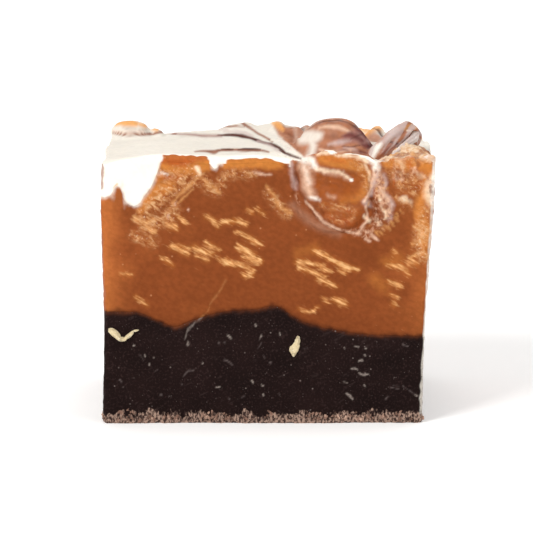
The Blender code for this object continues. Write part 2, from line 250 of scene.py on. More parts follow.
# Marks are strokes. Each group: colour, cover, softness of the edges, lift, and the strokes.
# Each stroke: x, z and half width along it. These are on the cut front.
FRONT_MARKS = (
    ("gold", 0.85, 0.45, 0.05, (
        ((-5.0, 32.5, .45), (-2.0, 32.6, .62), (1.5, 32.5, .60)),
        ((6.9, 33.2, .40), (8.6, 32.9, .70), (10.8, 32.3, .55), (12.3, 31.4, .45), (12.5, 29.9, .30)),
        ((-13.0, 30.6, .5), (-12.6, 32.0, .6), (-11.0, 31.7, .5), (-8.9, 31.9, .7), (-7.2, 32.3, .6)),
        ((-15.2, 27.0, .5), (-13.6, 29.0, .7), (-11.6, 29.8, .6)),
        ((14.9, 32.4, .4), (17.4, 32.4, .6), (20.0, 32.1, .7), (19.9, 30.6, .5)),
        ((19.6, 29.4, .5), (19.3, 27.6, .7), (19.0, 26.0, .6), (19.8, 24.0, .8), (20.1, 21.4, .5)),
        ((9.6, 28.2, .5), (11.6, 28.6, .6), (12.3, 29.8, .4)),
    )),
    ("gold", 0.35, 0.9, 0.0, (
        ((13.6, 18.2, .7), (14.6, 17.1, .6)),
        ((14.8, 20.4, .5), (16.4, 20.6, .5)),
        ((4.0, 21.4, .4), (6.0, 22.0, .5)),
    )),
    ("russet", 0.80, 0.42, 0.03, (
        ((-12.3, 32.9, .22), (-11.3, 32.7, .38), (-9.8, 32.7, .42), (-8.9, 32.9, .28)),
        ((-12.8, 30.9, .2), (-11.8, 30.7, .25), (-10.6, 31.0, .2)),
        ((16.9, 32.9, .16), (17.3, 32.3, .16)),
    )),
    ("ember", 0.75, 0.8, 0.0, (
        ((6.2, 30.6, .7), (8.0, 29.6, 1.6), (10.2, 29.2, 1.4), (11.4, 30.6, .8)),
        ((6.4, 28.4, .4), (8.6, 26.6, .9), (10.8, 26.0, .9), (11.6, 27.4, .5)),
    )),
    # Painted shade: soft darker patches in the roll and below the chunk at the left.
    ("umber", 0.22, 0.7, 0.0, (
        ((-9.8, 29.4, .6), (-8.6, 29.3, .8), (-7.2, 28.9, .5)),
        ((6.4, 30.6, .4), (8.2, 30.2, .7), (9.7, 29.6, .5)),
        ((8.4, 26.0, .4), (9.8, 25.3, .5), (11.2, 25.4, .4)),
    )),
    ("umber", 0.80, 0.24, -0.14, (
        # The first stroke is painted shade in the dark nook right of the roll.
        ((13.0, 28.4, .15), (13.4, 27.4, .40), (13.7, 26.3, .45), (14.2, 25.6, .25)),
        ((14.9, 28.3, .10), (15.2, 27.1, .16), (15.1, 26.0, .12)),
        ((4.9, 32.75, .05), (4.3, 32.7, .09), (3.85, 32.2, .11), (3.8, 31.4, .12), (3.95, 30.4, .11),
         (4.1, 29.5, .10), (4.7, 28.5, .08), (5.3, 27.6, .06)),
        ((5.6, 26.9, .05), (6.5, 25.7, .07), (7.7, 24.8, .06), (9.2, 24.1, .05)),
        ((6.3, 27.6, .05), (7.2, 26.4, .07), (8.4, 25.4, .06)),
        ((14.0, 32.2, .06), (14.5, 31.9, .09)),
        ((13.9, 29.5, .07), (14.2, 28.8, .12)),
        ((15.6, 29.3, .06), (15.9, 28.6, .10)),
    )),
    ("blush", 0.85, 0.80, 0.05, (
        ((4.7, 32.2, .45), (5.1, 31.0, .50), (5.2, 29.8, .45), (5.6, 28.8, .32)),
    )),
    ("ivory", 0.45, 0.45, 0.0, (
        ((4.8, 32.2, .25), (5.1, 31.2, .20), (5.3, 30.2, .15)),
    )),
    ("blush", 0.60, 0.45, 0.04, (
        ((6.2, 32.0, .20), (7.6, 31.6, .24), (9.2, 31.3, .20), (10.2, 30.8, .15)),
        ((7.8, 28.75, .05), (8.5, 28.45, .12)),
    )),
    ("blush", 0.20, 0.80, 0.0, (
        ((3.4, 27.4, .3), (4.4, 26.3, .4), (5.8, 25.2, .4), (7.4, 24.4, .35), (9.0, 23.8, .25)),
    )),
    ("russet", 0.55, 0.35, -0.04, (
        ((7.4, 26.2, .20), (8.2, 26.0, .25), (8.8, 25.4, .25), (9.8, 25.5, .3), (10.8, 25.2, .2)),
        ((9.6, 27.2, .12), (10.4, 26.8, .20), (11.2, 26.9, .12)),
        ((7.6, 33.2, .15), (8.8, 33.0, .22), (9.8, 32.7, .15)),
    )),
    ("cream", 0.80, 0.22, 0.06, (
        ((6.3, 33.6, .10), (7.0, 33.95, .20), (7.7, 33.8, .10), (8.4, 33.6, .05), (9.3, 33.6, .12),
         (10.0, 33.6, .20), (10.9, 33.35, .10), (11.6, 33.2, .22), (12.6, 32.8, .20)),
        ((12.3, 32.4, .14), (12.7, 31.4, .20), (12.8, 30.5, .10)),
    )),
    ("lilac", 0.75, 0.34, 0.08, (
        ((13.7, 31.9, .22), (13.6, 31.0, .34), (13.4, 30.1, .30), (13.1, 29.3, .22), (12.9, 28.5, .10)),
        ((12.1, 27.9, .18), (12.6, 27.6, .26), (13.0, 27.3, .10)),
    )),
    ("lilac", 0.70, 0.40, 0.08, (
        ((14.6, 31.0, .10), (14.8, 30.2, .20), (14.7, 29.5, .10)),
        ((14.6, 28.9, .10), (15.1, 28.2, .24), (15.6, 27.5, .28), (15.6, 26.9, .12)),
        ((15.3, 26.4, .08), (15.4, 25.9, .16), (15.1, 25.5, .08)),
    )),
    ("cream", 0.80, 0.25, 0.10, (
        ((16.5, 28.2, .15), (17.0, 28.2, .32), (17.5, 27.8, .20), (18.1, 27.7, .08)),
        ((16.3, 31.5, .08), (16.7, 31.3, .22), (16.9, 31.2, .12)),
        ((15.8, 30.7, .10), (16.1, 30.6, .14)),
        ((14.2, 27.2, .08), (14.7, 26.4, .24), (14.8, 25.8, .12)),
        ((13.9, 28.6, .08), (14.1, 28.0, .16)),
        ((13.4, 25.6, .08), (13.9, 25.1, .16), (14.3, 25.0, .08)),
        ((12.2, 26.0, .12), (12.7, 25.5, .20)),
    )),
    ("blush", 0.80, 0.22, 0.10, (
        ((5.9, 26.8, .06), (6.6, 25.9, .10), (7.6, 25.1, .12), (8.9, 24.45, .10), (10.2, 24.05, .09),
         (11.2, 23.85, .13), (11.7, 24.0, .22)),
        ((5.0, 27.9, .04), (5.8, 26.9, .05), (7.0, 25.7, .05), (8.4, 24.8, .04)),
        ((13.5, 31.9, .30), (13.35, 31.0, .20), (13.2, 30.4, .15), (12.95, 29.6, .15), (12.6, 28.7, .11),
         (12.2, 27.9, .18)),
        ((12.4, 27.2, .08), (12.6, 26.2, .10), (12.3, 25.2, .10), (11.8, 24.4, .14)),
        ((14.2, 29.6, .10), (14.4, 28.8, .14), (14.9, 28.1, .10)),
        ((12.9, 23.9, .08), (13.5, 23.4, .14), (13.9, 23.1, .08)),
        ((14.4, 33.3, .06), (15.6, 33.4, .10), (17.0, 33.1, .06), (18.2, 33.5, .10), (19.6, 33.3, .08),
         (21.0, 33.4, .10)),
        ((-1.6, 31.4, .05), (-0.6, 31.3, .09), (0.6, 31.1, .04)),
        # The next three small dots are painted glints.
        ((-12.0, 26.3, .13), (-12.0, 26.0, .13)),
        ((-9.6, 26.9, .09), (-9.5, 26.8, .09)),
        ((-11.2, 27.6, .10), (-11.0, 27.4, .10)),
        ((12.5, 24.1, .10), (13.1, 23.8, .12)),
        ((12.2, 23.3, .08), (12.9, 22.9, .10)),
        ((15.6, 31.3, .06), (16.3, 30.8, .09), (16.7, 30.3, .05)),
        ((18.2, 32.2, .05), (18.6, 31.4, .07)),
    )),
    ("blush", 0.27, 0.55, 0.05, (
        ((13.7, 32.3, .35), (14.0, 31.0, .45), (14.2, 29.6, .45), (14.5, 28.2, .50), (15.3, 27.2, .40)),
    )),
    ("russet", 0.65, 0.18, -0.05, (
        ((17.4, 33.3, .10), (17.7, 32.7, .20), (17.9, 31.9, .16)),
        ((18.9, 30.5, .10), (19.1, 29.9, .18), (19.0, 29.3, .10)),
        ((15.6, 31.3, .08), (15.9, 30.5, .16), (15.8, 29.8, .08)),
    )),
    ("cream", 0.50, 0.22, 0.05, (
        ((18.6, 33.6, .15), (19.4, 33.2, .26), (20.2, 32.8, .16)),
        ((16.0, 33.0, .16), (16.6, 32.7, .24), (16.8, 31.9, .12)),
        ((18.4, 31.4, .10), (18.9, 31.0, .18), (19.6, 30.9, .10)),
    )),
    ("lilac", 0.62, 0.42, 0.05, (
        ((3.0, 33.3, .16), (3.2, 32.4, .20), (3.3, 31.4, .12), (3.5, 30.4, .20), (3.8, 29.4, .06)),
    )),
    ("cream", 0.66, 0.28, 0.03, (
        ((6.2, 32.0, .20), (7.3, 31.75, .12), (8.4, 31.65, .06), (9.3, 31.4, .10), (10.0, 31.0, .10),
         (10.3, 30.8, .08)),
    )),
    ("white", 0.95, 0.14, 0.03, (
        # The first stroke is a painted highlight where the glossy line in the roll ends; the second is a
        # white wedge.
        ((10.45, 30.6, .16), (10.55, 30.5, .16)),
        ((-13.2, 31.4, .12), (-12.5, 31.3, .14), (-11.9, 31.15, .05)),
    )),
    # A painted glint on the caramel chunk at the left.
    ("cream", 0.90, 0.18, 0.06, (
        ((-8.5, 32.1, .20), (-8.1, 31.3, .22)),
    )),
    ("sugar", 0.70, 0.26, 0.06, (
        ((-8.2, 31.0, .10), (-9.4, 29.8, .14), (-10.6, 28.6, .12), (-11.5, 27.6, .06)),
        ((-9.0, 29.4, .05), (-10.2, 28.2, .08), (-10.8, 27.6, .04)),
        ((-8.0, 30.9, .10), (-6.8, 29.8, .14), (-5.5, 28.9, .12)),
    )),
    ("white", 0.88, 0.42, 0.06, (
        ((3.6, 33.3, .20), (4.6, 33.1, .40), (5.5, 33.0, .50), (5.9, 32.5, .34), (6.2, 32.2, .14)),
        ((5.6, 28.4, .08), (6.2, 28.25, .10), (6.6, 28.1, .04)),
        ((12.9, 33.2, .18), (13.5, 32.7, .40), (13.6, 31.9, .24)),
        # A painted highlight along the right upright edge.
        ((20.9, 31.3, .15), (20.7, 30.2, .28), (20.6, 28.9, .30), (20.8, 27.6, .22)),
    )),
    # More of the painted highlight along the right upright edge, wider and softer.
    ("cream", 0.70, 0.55, 0.03, (
        ((20.6, 31.0, .25), (20.1, 29.8, .42), (20.0, 28.6, .45), (20.4, 27.5, .35)),
    )),
)

# Marks on the white pocket at the left, and on the caramel under the topping.
POCKET_MARKS = (
    ("milk", 0.70, 0.10, -0.03, (
        ((-20.0, 33.6, .10), (-20.0, 32.6, .12), (-20.0, 31.6, .22), (-20.05, 30.4, .20),
         (-20.1, 29.4, .10)),
    )),
    ("sugar", 0.75, 0.16, 0.05, (
        ((-18.5, 29.6, .12), (-18.2, 29.9, .14)),
    )),
)
LUMP_MARKS = (
    ("sugar", 0.55, 0.24, 0.04, (
        ((0.1, 29.8, .10), (1.0, 28.4, .16), (1.8, 27.0, .22)),
        ((1.5, 27.5, .16), (2.3, 26.9, .24), (3.1, 26.3, .16)),
    )),
)

# Pale sugar streaks, which mostly slant down to the right.
SUGAR_STREAKS = (
    ((-7.2, 25.9, .10), (-6.5, 25.5, .18), (-5.8, 24.9, .12)),
    ((-5.3, 25.2, .12), (-4.4, 25.3, .20), (-3.5, 25.4, .18), (-2.4, 24.9, .14)),
    ((-2.2, 26.8, .06), (-1.6, 26.4, .12)),
    ((-0.9, 26.8, .05), (-0.3, 26.3, .09)),
    ((-3.5, 24.0, .10), (-2.2, 23.4, .17), (-0.7, 22.5, .12)),
    ((-11.6, 22.3, .12), (-10.6, 22.0, .26), (-9.6, 21.3, .14)),
    ((-10.6, 22.3, .10), (-9.3, 22.0, .16)),
    ((-8.9, 22.3, .12), (-7.6, 21.7, .22), (-6.5, 21.3, .14)),
    ((-7.2, 22.6, .14), (-5.7, 21.8, .12)),
    ((-8.5, 21.2, .06), (-7.1, 20.5, .10)),
    ((-5.6, 20.7, .10), (-5.4, 20.5, .10)),
    ((-3.2, 22.1, .22), (-2.3, 21.7, .34), (-1.4, 21.1, .20)),
    ((-4.9, 20.4, .20), (-3.5, 20.0, .26), (-2.1, 19.7, .16)),
    ((-2.6, 20.9, .12), (-1.6, 20.6, .28), (-0.5, 20.4, .18)),
    ((-2.7, 18.8, .10), (-2.0, 18.6, .14), (-1.5, 19.1, .10), (-2.1, 19.5, .08)),
    ((-15.9, 25.9, .12), (-15.0, 25.2, .20), (-14.0, 25.6, .22)),
    ((-14.8, 24.8, .14), (-13.6, 24.2, .16)),
    ((-12.2, 25.2, .14), (-11.5, 24.8, .26), (-10.9, 24.4, .16)),
    ((-10.7, 25.9, .10), (-9.9, 25.3, .12)),
    ((4.0, 20.3, .22), (4.9, 20.2, .30), (5.5, 20.1, .16)),
    ((4.2, 19.5, .12), (5.2, 19.2, .16), (6.2, 18.9, .18), (7.4, 18.5, .12)),
    ((5.8, 20.1, .08), (6.9, 19.7, .14), (8.0, 19.1, .08)),
    ((6.2, 21.6, .18), (7.2, 21.1, .26), (8.5, 20.4, .20)),
    ((8.5, 20.4, .14), (9.9, 19.8, .26), (11.3, 19.4, .14)),
    ((9.2, 19.3, .08), (9.9, 19.0, .12)),
    ((6.5, 18.2, .12), (7.4, 17.8, .20), (8.7, 17.2, .10)),
    ((8.5, 15.6, .14), (9.2, 15.3, .30), (9.9, 15.0, .20)),
    ((7.2, 15.6, .06), (7.7, 15.4, .09)),
    ((15.3, 17.9, .10), (15.9, 17.6, .20), (16.6, 17.3, .12)),
    ((14.9, 20.0, .06), (16.0, 19.9, .12), (17.0, 19.5, .12), (17.7, 18.8, .08)),
    ((17.7, 20.2, .12), (18.8, 20.1, .14)),
    ((18.0, 20.8, .08), (18.8, 21.3, .14), (19.8, 21.3, .10)),
    ((15.8, 21.7, .15), (16.0, 21.5, .15)),
    ((18.2, 22.4, .12), (19.2, 23.0, .24), (20.2, 24.0, .20)),
    ((18.6, 24.6, .10), (19.4, 25.4, .18)),
    ((15.4, 16.2, .06), (16.2, 16.0, .08)),
    ((15.8, 15.2, .10), (16.0, 15.0, .10)),
    ((-15.9, 15.9, .06), (-14.7, 15.0, .12)),
    ((-17.7, 18.8, .04), (-16.6, 18.7, .05)),
    ((-12.7, 20.9, .05), (-11.4, 19.9, .06)),
    ((4.2, 14.4, .04), (5.3, 14.1, .06), (6.5, 14.6, .03)),
)
STREAK_SLANT = -27.0

# A long light scratch down the front, from the caramel into the dark chocolate.
SCRATCH = ((-4.8, 18.1, .04), (-5.9, 16.4, .06), (-6.6, 15.4, .05), (-7.2, 14.1, .07), (-7.9, 13.4, .12),
           (-8.6, 12.9, .09), (-9.2, 12.2, .10), (-9.7, 11.2, .10), (-10.0, 10.6, .04))

# Crumbly, mottled caramel.
FRONT_CRUMBLY = (
    ((-15.2, 25.8, 0.8), (-14.0, 27.6, 1.0), (-12.0, 29.2, 1.0), (-9.9, 30.4, 0.9), (-8.0, 30.7, 0.8)),
    ((-14.8, 24.8, .6), (-12.6, 25.6, .8), (-11.2, 26.9, .7)),
    ((-7.7, 30.6, .7), (-5.9, 29.2, .5), (-4.6, 31.2, .5), (-1.6, 31.2, .4)),
    ((16.2, 31.6, 1.1), (17.6, 30.4, 1.4), (18.4, 29.4, .8)),
    ((19.8, 27.0, .7), (19.4, 24.0, 1.0), (19.6, 21.0, .7)),
    ((0.4, 28.9, .4), (2.6, 26.4, .5)),
    ((7.0, 27.4, .1), (9.0, 27.2, .25), (10.8, 26.8, .25)),
    ((7.8, 26.2, .05), (9.2, 25.6, .2), (10.6, 25.8, .1)),
    ((16.2, 28.4, .4), (17.8, 27.4, .3)),
    ((-12.8, 31.3, .4), (-10.8, 31.5, .4), (-9.0, 32.0, .6)),
    ((10.9, 32.8, .3), (12.0, 31.8, .5), (12.6, 29.8, .4)),
    ((-16.2, 23.6, .4), (-13.8, 22.8, .5)),
)

# Frothy, torn white in the caramel.
FRONT_FROTH = (
    ((13.7, 31.6, .45), (13.9, 30.2, .65), (14.1, 28.8, .80), (14.4, 27.2, 1.1), (14.2, 25.7, 1.1),
     (13.0, 24.3, .6)),
    ((15.9, 32.2, .3), (16.6, 31.0, .6), (18.0, 31.4, .5), (18.8, 32.6, .3)),
    ((4.0, 28.8, .2), (4.2, 27.6, .2)),
    ((9.6, 24.2, .2), (11.6, 23.9, .4), (13.0, 23.7, .4)),
    ((-13.0, 31.4, .3), (-11.8, 31.0, .3)),
    ((19.8, 31.4, .3), (20.3, 29.6, .5), (20.6, 27.6, .3)),
)

# The convex roll of caramel inside the swirl: centre x, z, half width and half height.
ROLL = (8.4, 28.9, 4.5, 4.9)

# The camera: where it stands, what it looks at, and its lens.
CAMERA_PLACE = (-1.4, -436.0, 88.0)
CAMERA_AIM = (0.2, 0.0, 17.15)
CAMERA_LENS = 233.0
SENSOR_WIDTH = 36.0

# From there, a millimetre of depth on top looks this many millimetres high.
DEPTH_SHOWS = 0.121

# Soft lights, in metres: name, place, size and power.
LIGHTS = (
    ("key", (-0.42, -0.50, 0.50), 0.30, 4.6),
    ("fill", (0.55, -0.55, 0.20), 0.50, 1.7),
    ("crown", (0.10, 0.10, 0.70), 0.40, 1.4),
)
LIGHT_AIM = (0.0, 0.0, 0.018)
LIGHT_COLOUR = (1.0, 0.985, 0.965)
STUDIO_COLOUR = (1.0, 0.99, 0.98, 1.0)
STUDIO_STRENGTH = 0.32

# The floor, in metres: half width, front edge, back wall, its height, and the radius of the bend.
FLOOR = (0.9, -0.9, 0.55, 0.8, 0.25)
FLOOR_STEPS = 12

# Marks on top: x, height as the photo shows it, and half width along each stroke.
TOP_MARKS = (
    ("apricot", 0.95, 0.30, 0.10, (
        ((-18.5, 37.4, .25), (-17.8, 37.7, .50), (-16.6, 37.7, .50), (-15.8, 37.5, .35)),
        ((-15.4, 37.4, .20), (-14.7, 37.2, .26)),
        ((-13.9, 36.95, .22), (-13.3, 36.75, .22)),
    )),
    ("blush", 0.60, 0.35, 0.0, (
        ((-19.1, 36.7, .12), (-18.3, 36.4, .20), (-17.0, 36.35, .16), (-15.0, 36.4, .16)),
    )),
    ("milk", 0.45, 0.35, -0.04, (
        ((-17.5, 37.0, .08), (-16.8, 36.9, .20), (-16.0, 36.8, .12)),
        ((-15.4, 36.7, .10), (-14.6, 36.65, .14)),
    )),
    ("mauve", 0.80, 0.22, -0.05, (
        ((-11.4, 36.22, .14), (-8.8, 36.02, .15), (-6.6, 35.92, .17), (-5.4, 35.95, .15)),
    )),
    ("lilac", 0.60, 0.24, 0.0, (
        ((-6.3, 36.85, .08), (-5.6, 36.8, .14), (-4.6, 36.8, .08)),
    )),
    ("latte", 0.95, 0.30, 0.12, (
        ((1.6, 37.1, .50), (2.4, 36.3, .80), (3.3, 36.2, .90), (4.6, 36.5, .80)),
        ((2.6, 35.7, .60), (3.6, 35.0, .75), (4.4, 34.4, .65), (4.8, 33.8, .50)),
    )),
    ("milk", 0.75, 0.50, -0.05, (
        ((2.2, 36.7, .20), (3.0, 36.3, .40), (4.2, 36.4, .30)),
        ((3.2, 35.5, .20), (4.0, 35.0, .35), (4.5, 34.2, .25)),
    )),
    ("apricot", 0.85, 0.25, 0.20, (
        ((1.1, 37.6, .35), (1.7, 37.2, .42), (2.2, 36.7, .22)),
        ((12.9, 36.4, .18), (13.6, 36.5, .30), (14.2, 36.2, .20)),
        ((19.0, 34.9, .14), (19.8, 34.7, .30), (20.7, 34.3, .22)),
        ((4.0, 35.3, .14), (4.3, 34.9, .16)),
    )),
    ("milk", 0.92, 0.14, -0.10, (
        ((-19.0, 36.35, .10), (-18.0, 36.15, .17), (-17.0, 36.02, .20), (-15.6, 36.08, .18),
         (-14.1, 36.15, .17), (-13.0, 36.38, .17), (-11.8, 36.32, .15), (-10.9, 36.22, .08)),
        ((-8.6, 34.0, .07), (-7.3, 34.0, .13), (-6.3, 33.9, .20), (-5.6, 34.1, .16), (-4.1, 34.2, .17),
         (-2.4, 34.1, .17), (-0.7, 34.1, .14), (0.4, 33.9, .06)),
        ((-5.9, 37.05, .06), (-5.2, 37.15, .12), (-4.2, 37.2, .13), (-2.6, 37.1, .10)),
        ((-2.8, 37.5, .18), (-2.0, 37.0, .16), (-1.1, 36.4, .13), (0.1, 35.7, .12), (0.9, 35.2, .13)),
        ((2.4, 36.3, .12), (3.2, 36.0, .16), (3.9, 35.3, .12)),
    )),
    ("plum", 0.98, 0.12, -0.16, (
        ((-5.9, 36.0, .05), (-4.8, 36.05, .17), (-3.4, 36.0, .22), (-2.0, 35.7, .20), (-0.8, 35.3, .19),
         (0.2, 35.0, .18)),
        ((0.2, 35.0, .17), (1.1, 34.7, .22), (1.9, 34.2, .20), (2.7, 33.7, .17), (3.8, 33.3, .14),
         (4.4, 33.1, .06)),
        ((-3.4, 34.2, .05), (-1.7, 34.3, .11), (-0.6, 34.2, .06)),
        ((-5.4, 34.25, .04), (-4.0, 34.25, .06)),
    )),
    ("lilac", 0.55, 0.20, 0.04, (
        ((-0.9, 35.2, .18), (0.4, 34.8, .22), (1.7, 33.9, .16)),
        ((-5.0, 36.5, .16), (-3.2, 36.4, .22), (-1.6, 35.9, .16)),
    )),
    ("ivory", 0.95, 0.12, 0.14, (
        ((0.8, 35.4, .16), (1.9, 35.2, .18), (2.9, 34.7, .17), (3.8, 33.9, .15), (4.5, 33.3, .10)),
    )),
)

# Marks on the dome and on the pulled ribbon, in the same way.
DOME_MARKS = (
    ("latte", 1.0, 0.30, 0.0, (
        ((4.6, 35.0, .8), (6.2, 36.0, 1.4), (8.4, 36.4, 2.0), (10.8, 36.0, 2.0), (12.6, 35.2, 1.2)),
        ((5.6, 34.2, .7), (8.2, 34.2, .9), (10.6, 34.1, .9), (13.0, 33.6, .7)),
    )),
    ("milk", 0.60, 0.35, 0.0, (
        ((7.5, 35.9, .25), (8.2, 35.8, .50), (8.9, 35.6, .35)),
        ((5.8, 37.2, .10), (7.4, 37.6, .14), (9.4, 37.6, .14), (10.8, 37.1, .14)),
        ((6.8, 34.6, .20), (7.8, 34.5, .25)),
    )),
    ("ivory", 0.88, 0.50, 0.05, (
        ((4.3, 35.4, .40), (5.1, 35.8, .80), (6.1, 35.9, .70), (6.7, 36.2, .28)),
        ((5.4, 35.6, .55), (5.8, 34.8, .45), (5.7, 34.1, .38), (5.5, 33.5, .42)),
    )),
    ("blush", 0.78, 0.26, 0.03, (
        ((6.6, 37.0, .10), (7.6, 37.2, .20), (8.8, 37.05, .18), (9.8, 36.7, .20), (10.4, 36.4, .10)),
        ((6.6, 34.3, .08), (8.4, 34.05, .12), (10.2, 34.2, .10), (11.4, 34.0, .06)),
    )),
    # The flap on the dome: milk chocolate on the shaded side of the roll, its purple-grey a painted shade
    # with a painted sheen.
    ("mauve", 0.90, 0.32, 0.22, (
        ((8.9, 35.2, .20), (10.0, 35.6, .55), (11.2, 35.9, .80), (12.1, 35.4, .70), (12.8, 34.8, .40)),
    )),
    # Painted sheen: light streaks along the upper edges of the flap.
    ("lilac", 0.70, 0.28, 0.05, (
        ((7.8, 34.9, .12), (8.8, 35.1, .25), (9.8, 35.3, .22), (10.4, 35.4, .08)),
        ((9.6, 34.5, .05), (10.6, 34.4, .12), (11.2, 34.2, .05)),
    )),
    # Painted shade: the dark edges and creases of the flap.
    ("maroon", 0.80, 0.28, -0.06, (
        ((10.9, 37.0, .15), (11.6, 36.7, .38), (12.1, 36.2, .34), (12.3, 35.7, .20)),
        ((9.4, 35.9, .12), (10.4, 36.05, .28), (11.2, 35.8, .28), (11.9, 35.4, .25)),
        ((11.9, 34.9, .15), (12.6, 34.7, .40), (13.2, 34.8, .25)),
        ((8.6, 34.1, .04), (9.6, 34.25, .10), (10.2, 34.1, .05)),
        ((10.7, 34.1, .10), (11.6, 34.0, .20), (12.3, 33.9, .15)),
    )),
    ("plum", 0.70, 0.12, 0.0, (
        ((5.2, 36.8, .05), (6.2, 37.4, .07), (7.5, 37.8, .08), (8.8, 37.9, .09), (10.0, 37.65, .09),
         (11.1, 37.1, .10)),
        ((10.2, 35.4, .03), (11.2, 35.9, .07), (12.0, 36.2, .04)),
        ((9.4, 34.7, .03), (10.6, 34.6, .08), (11.6, 34.8, .04)),
    )),
)
RIBBON_MARKS = (
    ("white", 0.92, 0.24, 0.0, (
        ((13.0, 33.5, .45), (13.6, 34.4, .42), (14.2, 35.0, .20)),
    )),
    ("lilac", 0.85, 0.30, 0.0, (
        ((14.6, 35.3, .25), (15.4, 36.0, .50), (16.2, 36.5, .35)),
        ((16.6, 34.2, .20), (17.4, 34.8, .28), (18.2, 35.5, .28), (18.8, 36.2, .24)),
    )),
    ("white", 0.70, 0.20, 0.0, (
        ((16.8, 34.4, .06), (17.6, 35.0, .12), (18.4, 35.8, .12)),
        ((15.2, 36.4, .05), (16.2, 36.9, .09)),
    )),
    ("mauve", 0.85, 0.26, 0.0, (
        ((14.4, 33.9, .20), (15.2, 34.5, .35), (16.2, 35.0, .25)),
        ((16.6, 36.4, .16), (17.2, 36.9, .20)),
    )),
    ("plum", 0.92, 0.14, 0.0, (
        ((15.1, 35.2, .08), (15.8, 35.1, .16), (16.3, 34.9, .08)),
        ((18.5, 37.2, .08), (19.0, 36.7, .14), (19.1, 36.1, .10)),
    )),
    ("milk", 0.80, 0.20, 0.0, (
        ((16.9, 37.2, .12), (17.6, 37.7, .16), (18.4, 37.6, .14), (18.9, 37.0, .14)),
    )),
    ("apricot", 0.75, 0.22, 0.0, (
        ((17.1, 36.8, .16), (17.8, 37.2, .20), (18.4, 36.9, .16)),
    )),
    # A painted highlight on the curl.
    ("cream", 0.90, 0.14, 0.0, (
        ((17.4, 36.6, .09), (17.9, 36.5, .12)),
    )),
)

# Bands on the back of the top, which the photo hides, in plan: x, y and half width along each stroke.
BACK_MARKS = (
    ("latte", 0.90, 0.8, 0.25, (
        ((2.8, 11.0, 1.0), (3.9, 7.0, 1.4), (4.6, 2.0, 1.3), (5.0, -3.0, 1.2)),
        ((10.2, -3.0, 1.4), (9.6, -1.0, 1.4), (8.4, 2.2, 1.0)),
        ((18.6, -4.0, .8), (15.2, -1.0, 1.2), (11.0, 3.6, 1.4), (7.4, 8.6, 1.0), (5.4, 15.0, .6)),
    )),
    ("apricot", 0.85, 0.5, 0.40, (
        ((12.4, 2.6, .7), (13.6, 3.2, 1.2), (14.6, 3.8, .6)),
        ((10.2, 15.4, .6), (13.0, 9.4, 1.0), (16.8, 5.6, .7), (19.8, 3.6, .4)),
    )),
    ("plum", 0.85, 0.32, -0.30, (
        ((20.0, -6.0, .3), (16.0, 1.0, .4), (12.0, 5.0, .3), (9.0, 9.0, .5), (7.6, 16.0, .4)),
        ((20.5, 4.5, .2), (16.5, 8.0, .5), (13.6, 12.0, .4), (12.6, 16.2, .3)),
        ((4.6, 16.2, .2), (5.4, 10.0, .3), (8.0, 4.0, .3), (10.2, 0.0, .2)),
    )),
)

